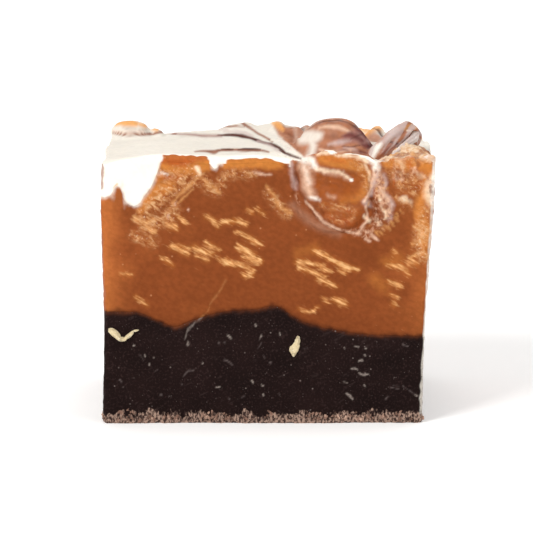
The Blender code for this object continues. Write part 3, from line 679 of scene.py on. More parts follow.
# Pale specks and drag marks in the dark layer.
DARK_MARKS = (
    ("speck", 0.8, 0.10, 0.05, (
        ((-16.3, 9.9, .10), (-16.1, 9.9, .10)), ((-15.0, 8.5, .10), (-14.95, 8.4, .10)),
        ((-13.9, 8.4, .10), (-13.8, 8.3, .08)), ((-14.4, 7.5, .11), (-14.4, 7.4, .11)),
        ((-7.95, 7.6, .15), (-7.8, 7.55, .13)), ((-9.6, 10.1, .13), (-9.5, 10.0, .12)),
        ((-4.7, 11.2, .10), (-4.3, 10.8, .14)), ((-1.25, 12.5, .13), (-1.15, 12.3, .10)),
        ((-0.7, 10.7, .06), (-0.4, 11.1, .14)), ((1.7, 11.4, .10), (1.8, 11.2, .12)),
        ((-6.3, 4.5, .05), (-5.8, 4.7, .12), (-5.4, 4.5, .05)), ((-1.65, 5.4, .13), (-1.55, 5.2, .12)),
        ((-0.4, 5.0, .10), (-0.2, 4.9, .11)), ((-0.25, 3.8, .12), (-0.2, 3.6, .10)),
        ((10.6, 6.9, .12), (11.1, 7.0, .14), (11.5, 6.8, .07)),
        ((11.6, 6.4, .10), (12.3, 6.2, .16), (12.9, 6.3, .10)),
        ((11.6, 7.9, .14), (12.1, 7.9, .16)), ((12.3, 8.6, .12), (12.4, 8.5, .12)),
        ((12.5, 9.5, .12), (12.6, 9.4, .12)), ((9.7, 9.6, .13), (9.75, 9.55, .12)),
        ((11.0, 9.8, .08), (11.6, 9.7, .12)),
        ((10.0, 3.8, .10), (10.5, 3.6, .14), (10.9, 3.1, .12)), ((9.7, 5.2, .08), (10.1, 5.1, .10)),
        ((12.3, 4.8, .11), (12.4, 4.6, .10)), ((18.4, 3.7, .05), (18.8, 3.5, .12)),
    )),
    ("dust", 0.85, 0.12, 0.03, (
        ((-5.2, 8.0, .12), (-4.7, 7.8, .10), (-4.0, 7.4, .08)),
        ((-10.2, 6.0, .08), (-9.5, 6.5, .10), (-8.9, 6.8, .08)),
        ((-18.0, 5.6, .10), (-17.7, 5.2, .10)), ((-15.6, 8.6, .05), (-15.2, 8.0, .06)),
        ((15.6, 4.6, .10), (16.2, 4.4, .08), (16.6, 4.2, .10)), ((15.9, 4.9, .05), (16.7, 4.6, .06)),
        ((17.2, 4.6, .08), (17.8, 4.1, .06), (18.4, 3.8, .06)), ((-13.8, 6.4, .06), (-13.2, 6.8, .05)),
        ((-5.8, 10.2, .12), (-5.7, 10.1, .12)), ((-5.1, 10.2, .10), (-5.0, 10.1, .10)),
        ((-0.2, 8.6, .10), (0.0, 8.4, .10)), ((0.6, 7.8, .14), (0.7, 7.7, .12)),
        ((-1.0, 9.6, .05), (-0.5, 10.2, .06)),
        ((-13.0, 3.6, .12), (-12.9, 3.5, .12)), ((-10.4, 4.9, .10), (-10.3, 4.8, .10)),
        ((-11.9, 3.4, .08), (-11.7, 3.3, .08)), ((-4.5, 3.2, .12), (-4.4, 3.1, .10)),
        ((1.6, 3.8, .10), (1.7, 3.7, .08)), ((14.9, 3.0, .14), (15.2, 3.3, .10)),
        ((-17.6, 4.6, .10), (-17.5, 4.5, .08)), ((4.6, 9.5, .04), (5.3, 9.5, .05)),
        ((17.0, 10.0, .12), (17.6, 9.9, .08)), ((-2.9, 3.4, .08), (-2.6, 3.6, .08)),
    )),
)

# Nut pieces that show in the dark layer: x, y, z of the centre, half sizes and turn about Y in degrees.
NUTS = (
    (3.62, -15.95, 9.4, 0.60, 0.40, 0.85, 8.0),
    (3.95, -15.95, 10.3, 0.34, 0.34, 0.80, 10.0),
    (-18.65, -15.95, 11.35, 1.00, 0.40, 0.42, 44.0),
    (-17.75, -15.95, 10.65, 0.60, 0.38, 0.30, 8.0),
    (-16.95, -15.95, 11.05, 0.95, 0.36, 0.25, -38.0),
    (-16.05, -15.95, 11.7, 0.34, 0.20, 0.13, -12.0),
    (-19.95, 9.6, 10.6, 0.40, 1.05, 1.70, 5.0),
    (-19.95, -3.6, 5.4, 0.36, 0.70, 1.25, -12.0),
    (19.6, 8.4, 5.2, 0.42, 1.00, 1.80, 14.0),
    (-6.0, 15.95, 8.0, 1.10, 0.42, 0.80, 20.0),
)

# A place further than NEAR_STROKE from a stroke counts as OUTSIDE millimetres inside it.
OUTSIDE = -9.0
NEAR_STROKE = 2.0

# Steps along each part of a stroke's curve, and along a whole fold.
STROKE_STEPS = 5
FOLD_STEPS = 24

# Stand-ins for nothing and for very far away.
TINY = 1e-9
FAR = 1e9

# The crumbs' bed round the foot of the block: rows of points, its lower edge and its least upper edge.
CRUMB_ROWS = 10
CRUMB_FOOT = 0.42
CRUMB_TOP = 0.70

# Whole numbers that scramble the places of the noise.
SCRAMBLE = (374761393, 668265263, 1442695041, 974634777)
SCRAMBLE_AGAIN = 1274126177
WORD = 0xFFFFFFFF


class FudgeSizes(PropertyGroup):
    """Sizes that change the finish but not the block."""

    crumb_band: FloatProperty(
        name="Crumb band", description="Height of the crumbly band along the lower edge",
        default=2.0 * MM, unit="LENGTH")
    crumb_smallest: FloatProperty(
        name="Smallest crumb", description="Half size of the smallest crumb",
        default=0.055 * MM, unit="LENGTH")
    crumb_largest: FloatProperty(
        name="Largest crumb", description="Half size of the largest crumb",
        default=0.27 * MM, unit="LENGTH")
    crumb_density: FloatProperty(
        name="Crumbs", description="Crumbs on each square millimetre of the band", default=34.0, min=0.0)
    seed: IntProperty(name="Seed", description="Seed of the crumbs' places", default=7)


class FudgeColours(PropertyGroup):
    """Colours of the fudge, as linear red, green and blue."""

    dark: FloatVectorProperty(
        name="Dark chocolate", description="Cut face of the dark layer", subtype="COLOR",
        default=(0.0105, 0.0046, 0.0041), min=0.0, max=1.0)
    caramel: FloatVectorProperty(
        name="Caramel", description="Middle of the cut caramel face", subtype="COLOR",
        default=(0.218, 0.0565, 0.0168), min=0.0, max=1.0)
    # Amber is a painted glow: caramel lit through where it is thin or near an edge.
    amber: FloatVectorProperty(
        name="Amber", description="Caramel where it is thin or near an edge", subtype="COLOR",
        default=(0.44, 0.131, 0.036), min=0.0, max=1.0)
    white: FloatVectorProperty(
        name="White chocolate", description="White chocolate of the topping", subtype="COLOR",
        default=(0.90, 0.845, 0.76), min=0.0, max=1.0)
    # The side colour is paler and duller than the cut face, partly as a painted sheen.
    side: FloatVectorProperty(
        name="Side", description="Matte caramel on the other faces", subtype="COLOR",
        default=(0.42, 0.205, 0.150), min=0.0, max=1.0)
    nut: FloatVectorProperty(
        name="Nut", description="Chopped pale nut", subtype="COLOR",
        default=(0.68, 0.56, 0.34), min=0.0, max=1.0)


def smooth_line(points, at):
    """Height of a smooth line through a few points, which never overshoots them."""
    xs, zs = np.array(points, float).T
    at = np.asarray(at, float)
    slopes = np.diff(zs) / np.diff(xs)
    tangents = np.zeros(len(xs))
    onward = slopes[:-1] * slopes[1:] > 0
    tangents[1:-1][onward] = 2 / (1 / slopes[:-1][onward] + 1 / slopes[1:][onward])
    k = np.clip(np.searchsorted(xs, at) - 1, 0, len(xs) - 2)
    width = xs[k + 1] - xs[k]
    t = np.clip((at - xs[k]) / width, 0, 1)
    level = zs[k] + (zs[k + 1] - zs[k]) * t * t * (3 - 2 * t)
    return level + width * t * (1 - t) * (tangents[k] * (1 - t) - tangents[k + 1] * t)


def ease(t):
    """0 below 0, 1 above 1 and a smooth rise between them."""
    t = np.clip(t, 0, 1)
    return t * t * (3 - 2 * t)


def blend(below, colour, cover):
    """Colours below, covered by another colour to a share from 0 to 1."""
    return below + (np.asarray(colour) - below) * np.asarray(cover)[..., None]


def right_wall(z):
    """x of the right wall at height z, which leans outwards."""
    return RIGHT_WALL + RIGHT_WALL_LEAN * z / TOP_LEVEL


def round_pairs(count):
    """Each place round a ring, and the next one."""
    k = np.arange(count)
    return k, (k + 1) % count


def seam(x, y):
    """Top of the dark chocolate layer."""
    back = ease((y + DEPTH / 2) / DEPTH)
    ripple = np.sin(0.45 * x + 0.6) * np.sin(0.4 * y + 1.2) * back * (1 - back)
    return smooth_line(SEAM_FRONT, x) * (1 - back) + smooth_line(SEAM_BACK, x) * back + ripple


def fold_height(x, y):
    """How much the pulled folds raise the top at a place in plan."""
    raised = np.zeros(np.shape(x))
    for start, bend, end, first, last, half_width in FOLDS:
        nearest = np.full(np.shape(x), FAR)
        share = np.zeros(np.shape(x))
        for t in np.arange(FOLD_STEPS + 1) / FOLD_STEPS:
            a, b, c = (1 - t) ** 2, 2 * t * (1 - t), t * t
            px = a * start[0] + b * bend[0] + c * end[0]
            py = a * start[1] + b * bend[1] + c * end[1]
            away = np.hypot(x - px, y - py)
            share = np.where(away < nearest, t, share)
            nearest = np.minimum(nearest, away)
        height = first + (last - first) * share
        raised = np.maximum(raised, height * np.exp(-(nearest / half_width) ** 2))
    return raised


def top(x, y):
    """Top of the topping."""
    depth = (y + DEPTH / 2) / DEPTH
    from_front = ease(depth / 0.2)
    to_back = ease((depth - 0.3) / 0.7)
    inside = smooth_line(TOP_MIDDLE, x) * (1 - to_back) + smooth_line(TOP_BACK, x) * to_back
    level = smooth_line(TOP_FRONT, x) * (1 - from_front) + inside * from_front
    for cx, cy, half_width, half_depth, height, flatness in MOUNDS:
        away = ((x - cx) / half_width) ** 2 + ((y - cy) / half_depth) ** 2
        level = level + height * np.exp(-away ** flatness)
    return level + fold_height(x, y) * from_front


def hang(x, y):
    """Lower side of the topping, which stays a film at least LEAST_FILM thick."""
    back = ease((y + DEPTH / 2) / DEPTH)
    drift = 3.0 * back * (1 - back)
    low = smooth_line(HANG_FRONT, x + drift) * (1 - back) + smooth_line(HANG_BACK, x - drift) * back
    return np.minimum(low, top(x, y) - LEAST_FILM)


def seam_share(p):
    """0 in the dark chocolate and 1 in the caramel, across the soft, ragged seam between them."""
    above = p[..., 2] - seam(p[..., 0], p[..., 1]) + grained(p, "seam")
    return ease(0.5 + above / SEAM_WIDTH) ** 1.3


def place(u, v, z):
    """The point at u, v from -1 to 1 across and in depth of the block, at height z."""
    across = LEFT_WALL + (right_wall(z) - LEFT_WALL) * (u + 1) / 2
    deep = v * DEPTH / 2
    across = across + 0.14 * u * np.sin(0.21 * z + 0.33 * deep + 0.8)
    deep = deep + 0.16 * v * np.sin(0.19 * z + 0.27 * across + 0.5)
    return across, deep


def lattice(ix, iy, iz, seed):
    """A repeatable number from -1 to 1 for each whole-number place."""
    mixed = sum(number * scramble for number, scramble in zip((ix, iy, iz, seed), SCRAMBLE)) & WORD
    mixed = ((mixed ^ (mixed >> 13)) * SCRAMBLE_AGAIN) & WORD
    mixed = mixed ^ (mixed >> 16)
    return mixed / (WORD >> 1) - 1


def noise(points, size, seed):
    """Smooth noise from -1 to 1, whose bumps are as large as size: one number or three."""
    q = points / np.asarray(size, float) + 100.0
    whole = np.floor(q).astype(np.int64)
    part = q - whole
    part = part * part * (3 - 2 * part)
    total = 0.0
    for corner in itertools.product((0, 1), repeat=3):
        weight = 1.0
        for axis in range(3):
            weight = weight * (part[..., axis] if corner[axis] else 1 - part[..., axis])
        ix, iy, iz = (whole[..., axis] + corner[axis] for axis in range(3))
        total = total + weight * lattice(ix, iy, iz, seed)
    return total


def rough(points, size, octaves, seed):
    """Noise with finer noise added to it, each octave half as large and half as high."""
    total = 0.0
    for k in range(octaves):
        total = total + noise(points, np.asarray(size, float) / 2 ** k, seed + k) / 2 ** k
    return total / (2 - 2 ** (1 - octaves))


def grained(points, name):
    """The noise that GRAINS lists by that name, at places in millimetres."""
    strength, size, octaves, seed = GRAINS[name]
    return strength * rough(points, size, octaves, seed)


def smooth_curve(points, steps):
    """Catmull-Rom curve through rows of numbers, with a few steps between each two."""
    rows = np.array(points, float)
    rows = np.vstack((2 * rows[0] - rows[1], rows, 2 * rows[-1] - rows[-2]))
    line = []
    for k in range(1, len(rows) - 2):
        a, b, c, d = rows[k - 1:k + 3]
        for t in np.arange(steps) / steps:
            line.append(0.5 * (2 * b + (c - a) * t + (2 * a - 5 * b + 4 * c - d) * t ** 2
                               + (3 * b - a - 3 * c + d) * t ** 3))
    line.append(rows[-2])
    return np.array(line)


def inside_stroke(p, q, stroke):
    """How far inside a stroke each place is, in millimetres, and below zero outside it."""
    line = smooth_curve(stroke, STROKE_STEPS)
    reach = NEAR_STROKE + line[:, 2].max()
    low, high = line[:, :2].min(0) - reach, line[:, :2].max(0) + reach
    near = (p > low[0]) & (p < high[0]) & (q > low[1]) & (q < high[1])
    found = np.full(np.shape(p), OUTSIDE)
    x, y = p[near], q[near]
    best = np.full(x.shape, OUTSIDE)
    for a, b in zip(line, line[1:]):
        step = b[:2] - a[:2]
        t = ((x - a[0]) * step[0] + (y - a[1]) * step[1]) / max(step @ step, TINY)
        t = np.clip(t, 0, 1)
        away = np.hypot(x - a[0] - t * step[0], y - a[1] - t * step[1])
        best = np.maximum(best, a[2] + (b[2] - a[2]) * t - away)
    found[near] = best
    return found


def inside_any(p, q, strokes):
    """How far inside the nearest of several strokes each place is."""
    best = np.full(np.shape(p), OUTSIDE)
    for stroke in strokes:
        best = np.maximum(best, inside_stroke(p, q, stroke))
    return best


def dab(x, z, angle, reach, start, middle, end):
    """A straight stroke through x, z, which reaches equally far both ways, with its half widths."""
    dx, dz = math.cos(angle) * reach, math.sin(angle) * reach
    return (x - dx, z - dz, start), (x, z, middle), (x + dx, z + dz, end)


def combed_strokes(teeth=11, crumbs=22):
    """Short pale strokes like the teeth of a comb, and dark gaps, where the swirl was torn."""
    rng = np.random.default_rng(5)
    pale, dark = [], []
    for k in range(teeth):
        along = k / (teeth - 1)
        x = 16.6 - 2.5 * along + rng.uniform(-0.35, 0.35)
        z = 26.4 - 2.7 * along + rng.uniform(-0.3, 0.3)
        angle = math.radians(-38 + rng.uniform(-14, 14))
        reach = rng.uniform(0.45, 0.85) / 2
        half = rng.uniform(0.06, 0.11)
        pale.append(dab(x, z, angle, reach, half, half, half * 0.4))
        dark.append(dab(x, z - 0.2, angle, reach, 0.05, 0.035, 0.02))
    for k in range(crumbs):
        x, z = rng.uniform(12.7, 15.4), rng.uniform(23.8, 30.6)
        angle = math.radians(rng.uniform(0, 180))
        reach = rng.uniform(0.2, 0.5) / 2
        half = rng.uniform(0.05, 0.12)
        (pale if k % 2 else dark).append(dab(x, z, angle, reach, half * 0.4, half, half * 0.4))
    return (("umber", 0.45, 0.16, -0.05, tuple(dark)), ("sugar", 0.60, 0.18, 0.05, tuple(pale)))


def fine_streaks():
    """Thin streaks beside each larger sugar streak, so that it looks dragged out."""
    rng = np.random.default_rng(9)
    streaks = []
    for stroke in SUGAR_STREAKS:
        middle = np.mean(stroke, 0)
        for _ in range(4):
            x, z = middle[0] + rng.uniform(-0.8, 0.8), middle[1] + rng.uniform(-0.5, 0.5)
            angle = math.radians(STREAK_SLANT + rng.uniform(-10, 10))
            reach = rng.uniform(0.3, 0.8) * (0.4 + 3 * middle[2])
            streaks.append(dab(x, z, angle, reach, 0.01, rng.uniform(0.02, 0.06), 0.02))
    return tuple(streaks)


COMBED_MARKS = combed_strokes()
FINE_STREAKS = fine_streaks()
SWEPT_MARKS = (("gold", 0.55, 0.60, 0.02, SUGAR_STREAKS), ("sugar", 0.22, 0.18, -0.03, (SCRATCH,)))


def shade(inside, soft):
    """A mask from 0 to 1 across the edge of a shape, soft millimetres to each side."""
    return ease(0.5 + inside / (2 * soft))


def laid(colours, p, q, groups, grain, share=1.0):
    """Lays groups of marks over colours, at places p and q, with edges moved by a grain in millimetres."""
    for name, cover, soft, _, strokes in groups:
        mask = cover * share * shade(inside_any(p, q, strokes) + grain, soft)
        colours = blend(colours, PALETTE[name], mask)
    return colours


def dragged(p):
    """Places turned along the slant of the sugar streaks."""
    turn = math.radians(STREAK_SLANT)
    along = p[..., 0] * math.cos(turn) + p[..., 2] * math.sin(turn)
    across = p[..., 2] * math.cos(turn) - p[..., 0] * math.sin(turn)
    return np.stack((along, p[..., 1], across), -1)


def lifted(p, q, groups):
    """How far groups of marks stand out of the surface, at places p and q."""
    height = np.zeros(np.shape(p))
    for _, _, soft, lift, strokes in groups:
        if lift:
            height += lift * shade(inside_any(p, q, strokes), soft + 0.03)
    return height


def ragged(p, size, reach, seed):
    """Places moved about a little, so that the shapes read there get uneven edges."""
    return p + reach * np.stack([noise(p, size, seed + axis) for axis in range(3)], -1)


def facing_front(p):
    """1 on the cut front face and 0 away from it."""
    return ease((FRONT + 0.9 - p[..., 1]) / 0.6)


def side_film_and_sheen(p):
    """1 on the left, right and back faces, 0 on the front and the top; there the paler side colour goes,
    partly a painted sheen.
    """
    return 1 - facing_front(p)


def roll_distance(p):
    """0 at the centre of the roll in the swirl and 1 at its edge."""
    cx, cz, half_width, half_height = ROLL
    return np.hypot((p[..., 0] - cx) / half_width, (p[..., 2] - cz) / half_height)


def roll_bulge(p):
    """Height of the convex roll in the swirl, and a groove just outside it."""
    away = roll_distance(p)
    depth, middle, half_width = ROLL_GROOVE
    groove = depth * np.exp(-((away - middle) / half_width) ** 2)
    return ROLL_BULGE * np.sqrt(np.clip(1 - away ** 3, 0, 1)) - groove


def front_places(p):
    """x and z on the cut front, moved about a little so that the marks get ragged edges."""
    w = ragged(ragged(p, 0.8, 0.13, 15), 0.32, 0.07, 18)
    return w[..., 0], w[..., 2]


def front_relief(p):
    """Relief of the cut front: knife drag, torn crumbs, the roll and its strokes."""
    x, z = front_places(p)
    height = grained(p, "front_drag") + grained(p, "front_swell")
    height += shade(inside_any(x, z, FRONT_CRUMBLY), 0.5) * (grained(p, "front_crumbs") + 0.03)
    height += shade(inside_any(x, z, FRONT_FROTH), 0.5) * grained(p, "front_froth")
    height += roll_bulge(p)
    height += lifted(x, z, FRONT_MARKS + LUMP_MARKS + COMBED_MARKS + SWEPT_MARKS + DARK_MARKS)
    dark = ease((seam(x, p[..., 1]) - z) / 0.6)
    return height + dark * grained(p, "front_dark")


def side_relief(p):
    """Relief of the other faces: rougher, with upright drag marks."""
    pits = np.clip(grained(p, "side_pits") - 0.45, 0, 1)
    return grained(p, "side_drag") + grained(p, "side_lumps") - 0.4 * pits


def wall_shift(p):
    """Outward shift of the block's walls, fading to nothing a short way inside them."""
    cx = np.clip(p[..., 0], LEFT_WALL + WALL_FADE, right_wall(p[..., 2]) - WALL_FADE)
    cy = np.clip(p[..., 1], FRONT + WALL_FADE, -FRONT - WALL_FADE)
    dx, dy = p[..., 0] - cx, p[..., 1] - cy
    away = np.hypot(dx, dy)
    near = away > 1e-6
    shift = np.zeros(p.shape)
    q = p[near]
    front = facing_front(q)
    height = front * front_relief(q) + (1 - front) * side_relief(q)
    upright = ease((np.minimum(np.abs(dx), np.abs(dy))[near] - 0.7) / 0.6)
    height += upright * grained(q, "upright_edge")
    foot = ease((1.5 - q[:, 2]) / 1.3)
    height += foot * (grained(q, "foot") - 0.06)
    height -= 0.16 * ease((0.25 - q[:, 2]) / 0.25)
    weight = np.clip(away[near] / WALL_FADE, 0, 1) ** 2 * height / away[near]
    shift[near, 0] = dx[near] * weight
    shift[near, 1] = dy[near] * weight
    return shift


def top_places(p):
    """Apparent x and height of places on top, as the photo shows them on the plane of the cut front."""
    w = ragged(p, (0.9, 3.0, 0.9), 0.09, 55)
    view_x, view_y, _ = CAMERA_PLACE
    nearer = (FRONT - view_y) / (w[..., 1] - view_y)
    return view_x + (w[..., 0] - view_x) * nearer, w[..., 2] + DEPTH_SHOWS * (w[..., 1] - FRONT)


def top_zones(p):
    """Shares of the dome's front and of the hidden back at the right, where other marks lie."""
    x, y = p[..., 0], p[..., 1]
    right = ease((x - 3.4) / 1.0)
    back = right * ease((y + 4.5) / 2.5)
    dome = right * (1 - back) * ease((13.9 - x) / 0.8)
    return dome, back


def crumbled_end(p):
    """1 on the crumbled front end of the top at the right, where the ribbon stands."""
    return ease((p[..., 0] - 13.6) / 1.2) * ease((-6.0 - p[..., 1]) / 4.0) * ease((p[..., 2] - 32.2) / 0.8)


def top_shift(p):
    """Rise of the fine relief of the top: creases, the flap on the dome, lumps and chips along its rim."""
    x, y = p[..., 0], p[..., 1]
    across, shown = top_places(p)
    dome, back = top_zones(p)
    rise = lifted(across, shown, TOP_MARKS) * (1 - back)
    rise += lifted(across, shown, DOME_MARKS) * dome + lifted(x, y, BACK_MARKS) * back
    rise += grained(p, "top_swell")
    brown = ease((x - 1.0) / 0.8) * ease((5.0 - x) / 0.8)
    rise += brown * grained(p, "top_brown") + back * grained(p, "top_back")
    rise += crumbled_end(p) * grained(p, "top_crumbled")
    edge = np.minimum(y - FRONT, np.minimum(x - LEFT_WALL, RIGHT_WALL + RIGHT_WALL_LEAN - x))
    chips = ease((0.9 - edge) / 0.9)
    rise += chips * (grained(p, "top_chips") - 0.05)
    return rise


def finish_mesh(name, points, faces, material, attributes=None):
    """Writes a closed mesh in metres, with its material and its attributes for the shader."""
    mesh = bpy.data.meshes.new(name)
    mesh.from_pydata((points * MM).tolist(), [], faces)
    mesh.materials.append(material)
    for key, values in (attributes or {}).items():
        if np.ndim(values) == 2:
            layer = mesh.attributes.new(key, "FLOAT_COLOR", "POINT")
            rows = np.column_stack((values, np.ones(len(values))))
            layer.data.foreach_set("color", np.ascontiguousarray(rows, np.float32).reshape(-1))
        else:
            layer = mesh.attributes.new(key, "FLOAT", "POINT")
            layer.data.foreach_set("value", np.ascontiguousarray(values, np.float32))
    mesh.validate()
    mesh.shade_smooth()
    obj = bpy.data.objects.new(name, mesh)
    bpy.context.scene.collection.objects.link(obj)
    return obj


def plan():
    """u and v of the grid places, crowded towards the front and both ends in depth, with rounded edges."""
    s = np.linspace(-1, 1, CELLS_X + 1)
    t = np.linspace(0, 1, CELLS_Y + 1)
    t = t - FRONT_CROWDING * t * (1 - t) - END_CROWDING * np.sin(math.tau * t) / math.tau
    u, v = np.meshgrid(s, 2 * t - 1, indexing="ij")
    half_x, half_y = (RIGHT_WALL - LEFT_WALL) / 2, DEPTH / 2
    cx = np.clip(u * half_x, -half_x + CORNER_RADIUS, half_x - CORNER_RADIUS)
    cy = np.clip(v * half_y, -half_y + CORNER_RADIUS, half_y - CORNER_RADIUS)
    dx, dy = u * half_x - cx, v * half_y - cy
    away = np.hypot(dx, dy)
    keep = np.where(away > TINY, np.maximum(np.abs(dx), np.abs(dy)) / np.maximum(away, TINY), 1.0)
    return (cx + dx * keep) / half_x, (cy + dy * keep) / half_y


PLAN_U, PLAN_V = plan()


def rim():
    """Grid places round the outside of the plan, anticlockwise from above."""
    front = [(i, 0) for i in range(CELLS_X)]
    right = [(CELLS_X, j) for j in range(CELLS_Y)]
    back = [(i, CELLS_Y) for i in range(CELLS_X, 0, -1)]
    left = [(0, j) for j in range(CELLS_Y, 0, -1)]
    return np.array(front + right + back + left).T


RIM = rim()


def rim_heights(height):
    """Heights along the rim of a surface that is a function of x and y."""
    x, y = place(PLAN_U[tuple(RIM)], PLAN_V[tuple(RIM)], TOP_LEVEL / 2)
    return height(x, y)


def wall_points(low, high, shares):
    """Rows of points round the block, at shares of the way from low to high."""
    z = low + (high - low) * np.asarray(shares)[:, None]
    x, y = place(PLAN_U[tuple(RIM)], PLAN_V[tuple(RIM)], z)
    return np.stack((x, y, z), -1)


def strip_faces(rows, count, first=0):
    """Quads between rings of points that go round the block, lowest ring first."""
    k, n = round_pairs(count)
    faces = []
    for row in range(rows - 1):
        a = first + row * count
        faces.append(np.stack((a + k, a + n, a + count + n, a + count + k), -1))
    return np.concatenate(faces).tolist()


def cap(points, faces, ring, lift, upwards):
    """Closes a wall with a few shrinking rings, whose inner points move by lift, and a centre."""
    count = len(ring)
    centre = points[ring].mean(0)
    centre[2] += lift
    rings = [np.asarray(ring)]
    added = []
    at = len(points)
    for share in CAP_SHRINK:
        new = centre + (points[ring] - centre) * share
        new[:, 2] += lift * min(1.0, 6 * (1 - share)) * share
        added.append(new)
        rings.append(np.arange(at, at + count))
        at += count
    added.append(centre[None])
    k, n = round_pairs(count)
    for outer, inner in zip(rings, rings[1:]):
        quads = np.stack((outer[k], outer[n], inner[n], inner[k]), -1)
        faces += (quads if upwards else quads[:, ::-1]).tolist()
    last = rings[-1]
    fan = np.stack((last[k], last[n], np.full(count, at)), -1)
    faces += (fan if upwards else fan[:, ::-1]).tolist()
    return np.vstack([points] + added)


def layer_block(low, high, shares, foot_lift):
    """Points and faces of one layer: its walls from low to high, with a cap below and above them."""
    wall = wall_points(low, high, shares)
    wall = wall + wall_shift(wall)
    rows, count = wall.shape[:2]
    faces = strip_faces(rows, count)
    points = cap(wall.reshape(-1, 3), faces, range(count), foot_lift, upwards=False)
    upper = range((rows - 1) * count, rows * count)
    return cap(points, faces, upper, -LAYER_GAP, upwards=True), faces


class Wrapped:
    """A number from a shader socket, so that shader maths reads as plain expressions."""

    def __init__(self, shader, socket):
        self.shader = shader
        self.socket = socket

    def maths(self, operation, *others):
        return self.shader.add("ShaderNodeMath", {"operation": operation}, [self, *others])

    def __add__(self, other):
        return self.maths("ADD", other)

    __radd__ = __add__

    def __mul__(self, other):
        return self.maths("MULTIPLY", other)

    __rmul__ = __mul__

    def __sub__(self, other):
        return self.maths("SUBTRACT", other)

    def __rsub__(self, other):
        return self.shader.add("ShaderNodeMath", {"operation": "SUBTRACT"}, [other, self])

    def step(self, low, high):
        """0 below low, 1 above high and a smooth rise between them."""
        values = {"Value": self, "From Min": low, "From Max": high}
        return self.shader.add("ShaderNodeMapRange", {"interpolation_type": "SMOOTHSTEP"}, values)


class Shader:
    """Builds one material's node tree."""

    def __init__(self, name):
        self.material = bpy.data.materials.new(name)
        self.material.use_nodes = True
        self.tree = self.material.node_tree
        self.surface = self.tree.nodes["Principled BSDF"]

    def connect(self, value, socket):
        if isinstance(value, Wrapped):
            self.tree.links.new(value.socket, socket)
        elif hasattr(value, "__len__") and len(value) == 3 and len(socket.default_value) == 4:
            socket.default_value = (*value, 1.0)
        else:
            socket.default_value = value

    def add(self, kind, settings=None, values=None, output=0):
        """Adds a node with its settings and the values or links of its sockets."""
        node = self.tree.nodes.new(kind)
        for key, value in (settings or {}).items():
            setattr(node, key, value)
        pairs = enumerate(values) if isinstance(values, list) else (values or {}).items()
        for key, value in pairs:
            self.connect(value, node.inputs[key])
        return Wrapped(self, node.outputs[output])

    def attribute(self, name, output="Fac"):
        return self.add("ShaderNodeAttribute", {"attribute_name": name}, output=output)

    def place(self, stretch=(1, 1, 1), turn=(0, 0, 0)):
        """Object coordinates in millimetres, turned by degrees and then divided by a stretch."""
        spot = self.add("ShaderNodeTexCoord", output="Object")
        turned = self.add("ShaderNodeMapping", values={
            "Vector": spot, "Rotation": [math.radians(a) for a in turn], "Scale": (1 / MM,) * 3})
        return self.add("ShaderNodeVectorMath", {"operation": "DIVIDE"}, [turned, tuple(stretch)])

    def noise(self, size, detail=3.0, stretch=(1, 1, 1), turn=(0, 0, 0), warp=0.0):
        """Noise from 0 to 1 whose bumps are about size millimetres across."""
        values = {"Vector": self.place(stretch, turn), "Scale": 1 / size, "Detail": detail,
                  "Distortion": warp}
        return self.add("ShaderNodeTexNoise", values=values, output="Fac")

    def cells(self, size, stretch=(1, 1, 1), turn=(0, 0, 0)):
        """Distance to the nearest of many scattered points, in cells of size millimetres."""
        values = {"Vector": self.place(stretch, turn), "Scale": 1 / size}
        return self.add("ShaderNodeTexVoronoi", values=values, output="Distance")

    def lace(self, size, bend):
        """Distance to the nearest strand of an uneven net, in meshes of size millimetres."""
        spot = self.place()
        drift = self.add("ShaderNodeTexNoise", values={"Vector": spot, "Scale": 1.4 / size}, output="Color")
        bent = self.add("ShaderNodeVectorMath", {"operation": "MULTIPLY_ADD"}, [drift, (bend,) * 3, spot])
        return self.add("ShaderNodeTexVoronoi", {"feature": "DISTANCE_TO_EDGE"},
                        {"Vector": bent, "Scale": 1 / size}, output="Distance")

    def mix(self, a, b, factor):
        """Colour a where factor is 0 and b where it is 1."""
        node = self.tree.nodes.new("ShaderNodeMix")
        node.data_type = "RGBA"
        for key, value in ((0, factor), (6, a), (7, b)):
            self.connect(value, node.inputs[key])
        return Wrapped(self, node.outputs[2])

    def scale(self, colour, factor):
        """A colour made lighter or darker."""
        return self.add("ShaderNodeVectorMath", {"operation": "SCALE"}, {"Vector": colour, "Scale": factor})

    def bump(self, height, distance, strength=1.0):
        values = {"Height": height, "Distance": distance * MM, "Strength": strength}
        return self.add("ShaderNodeBump", values=values)

    def finish(self, **values):
        """Sets the surface's sockets, whose names are given with _ for a space."""
        for key, value in values.items():
            self.connect(value, self.surface.inputs[key.replace("_", " ")])
        return self.material


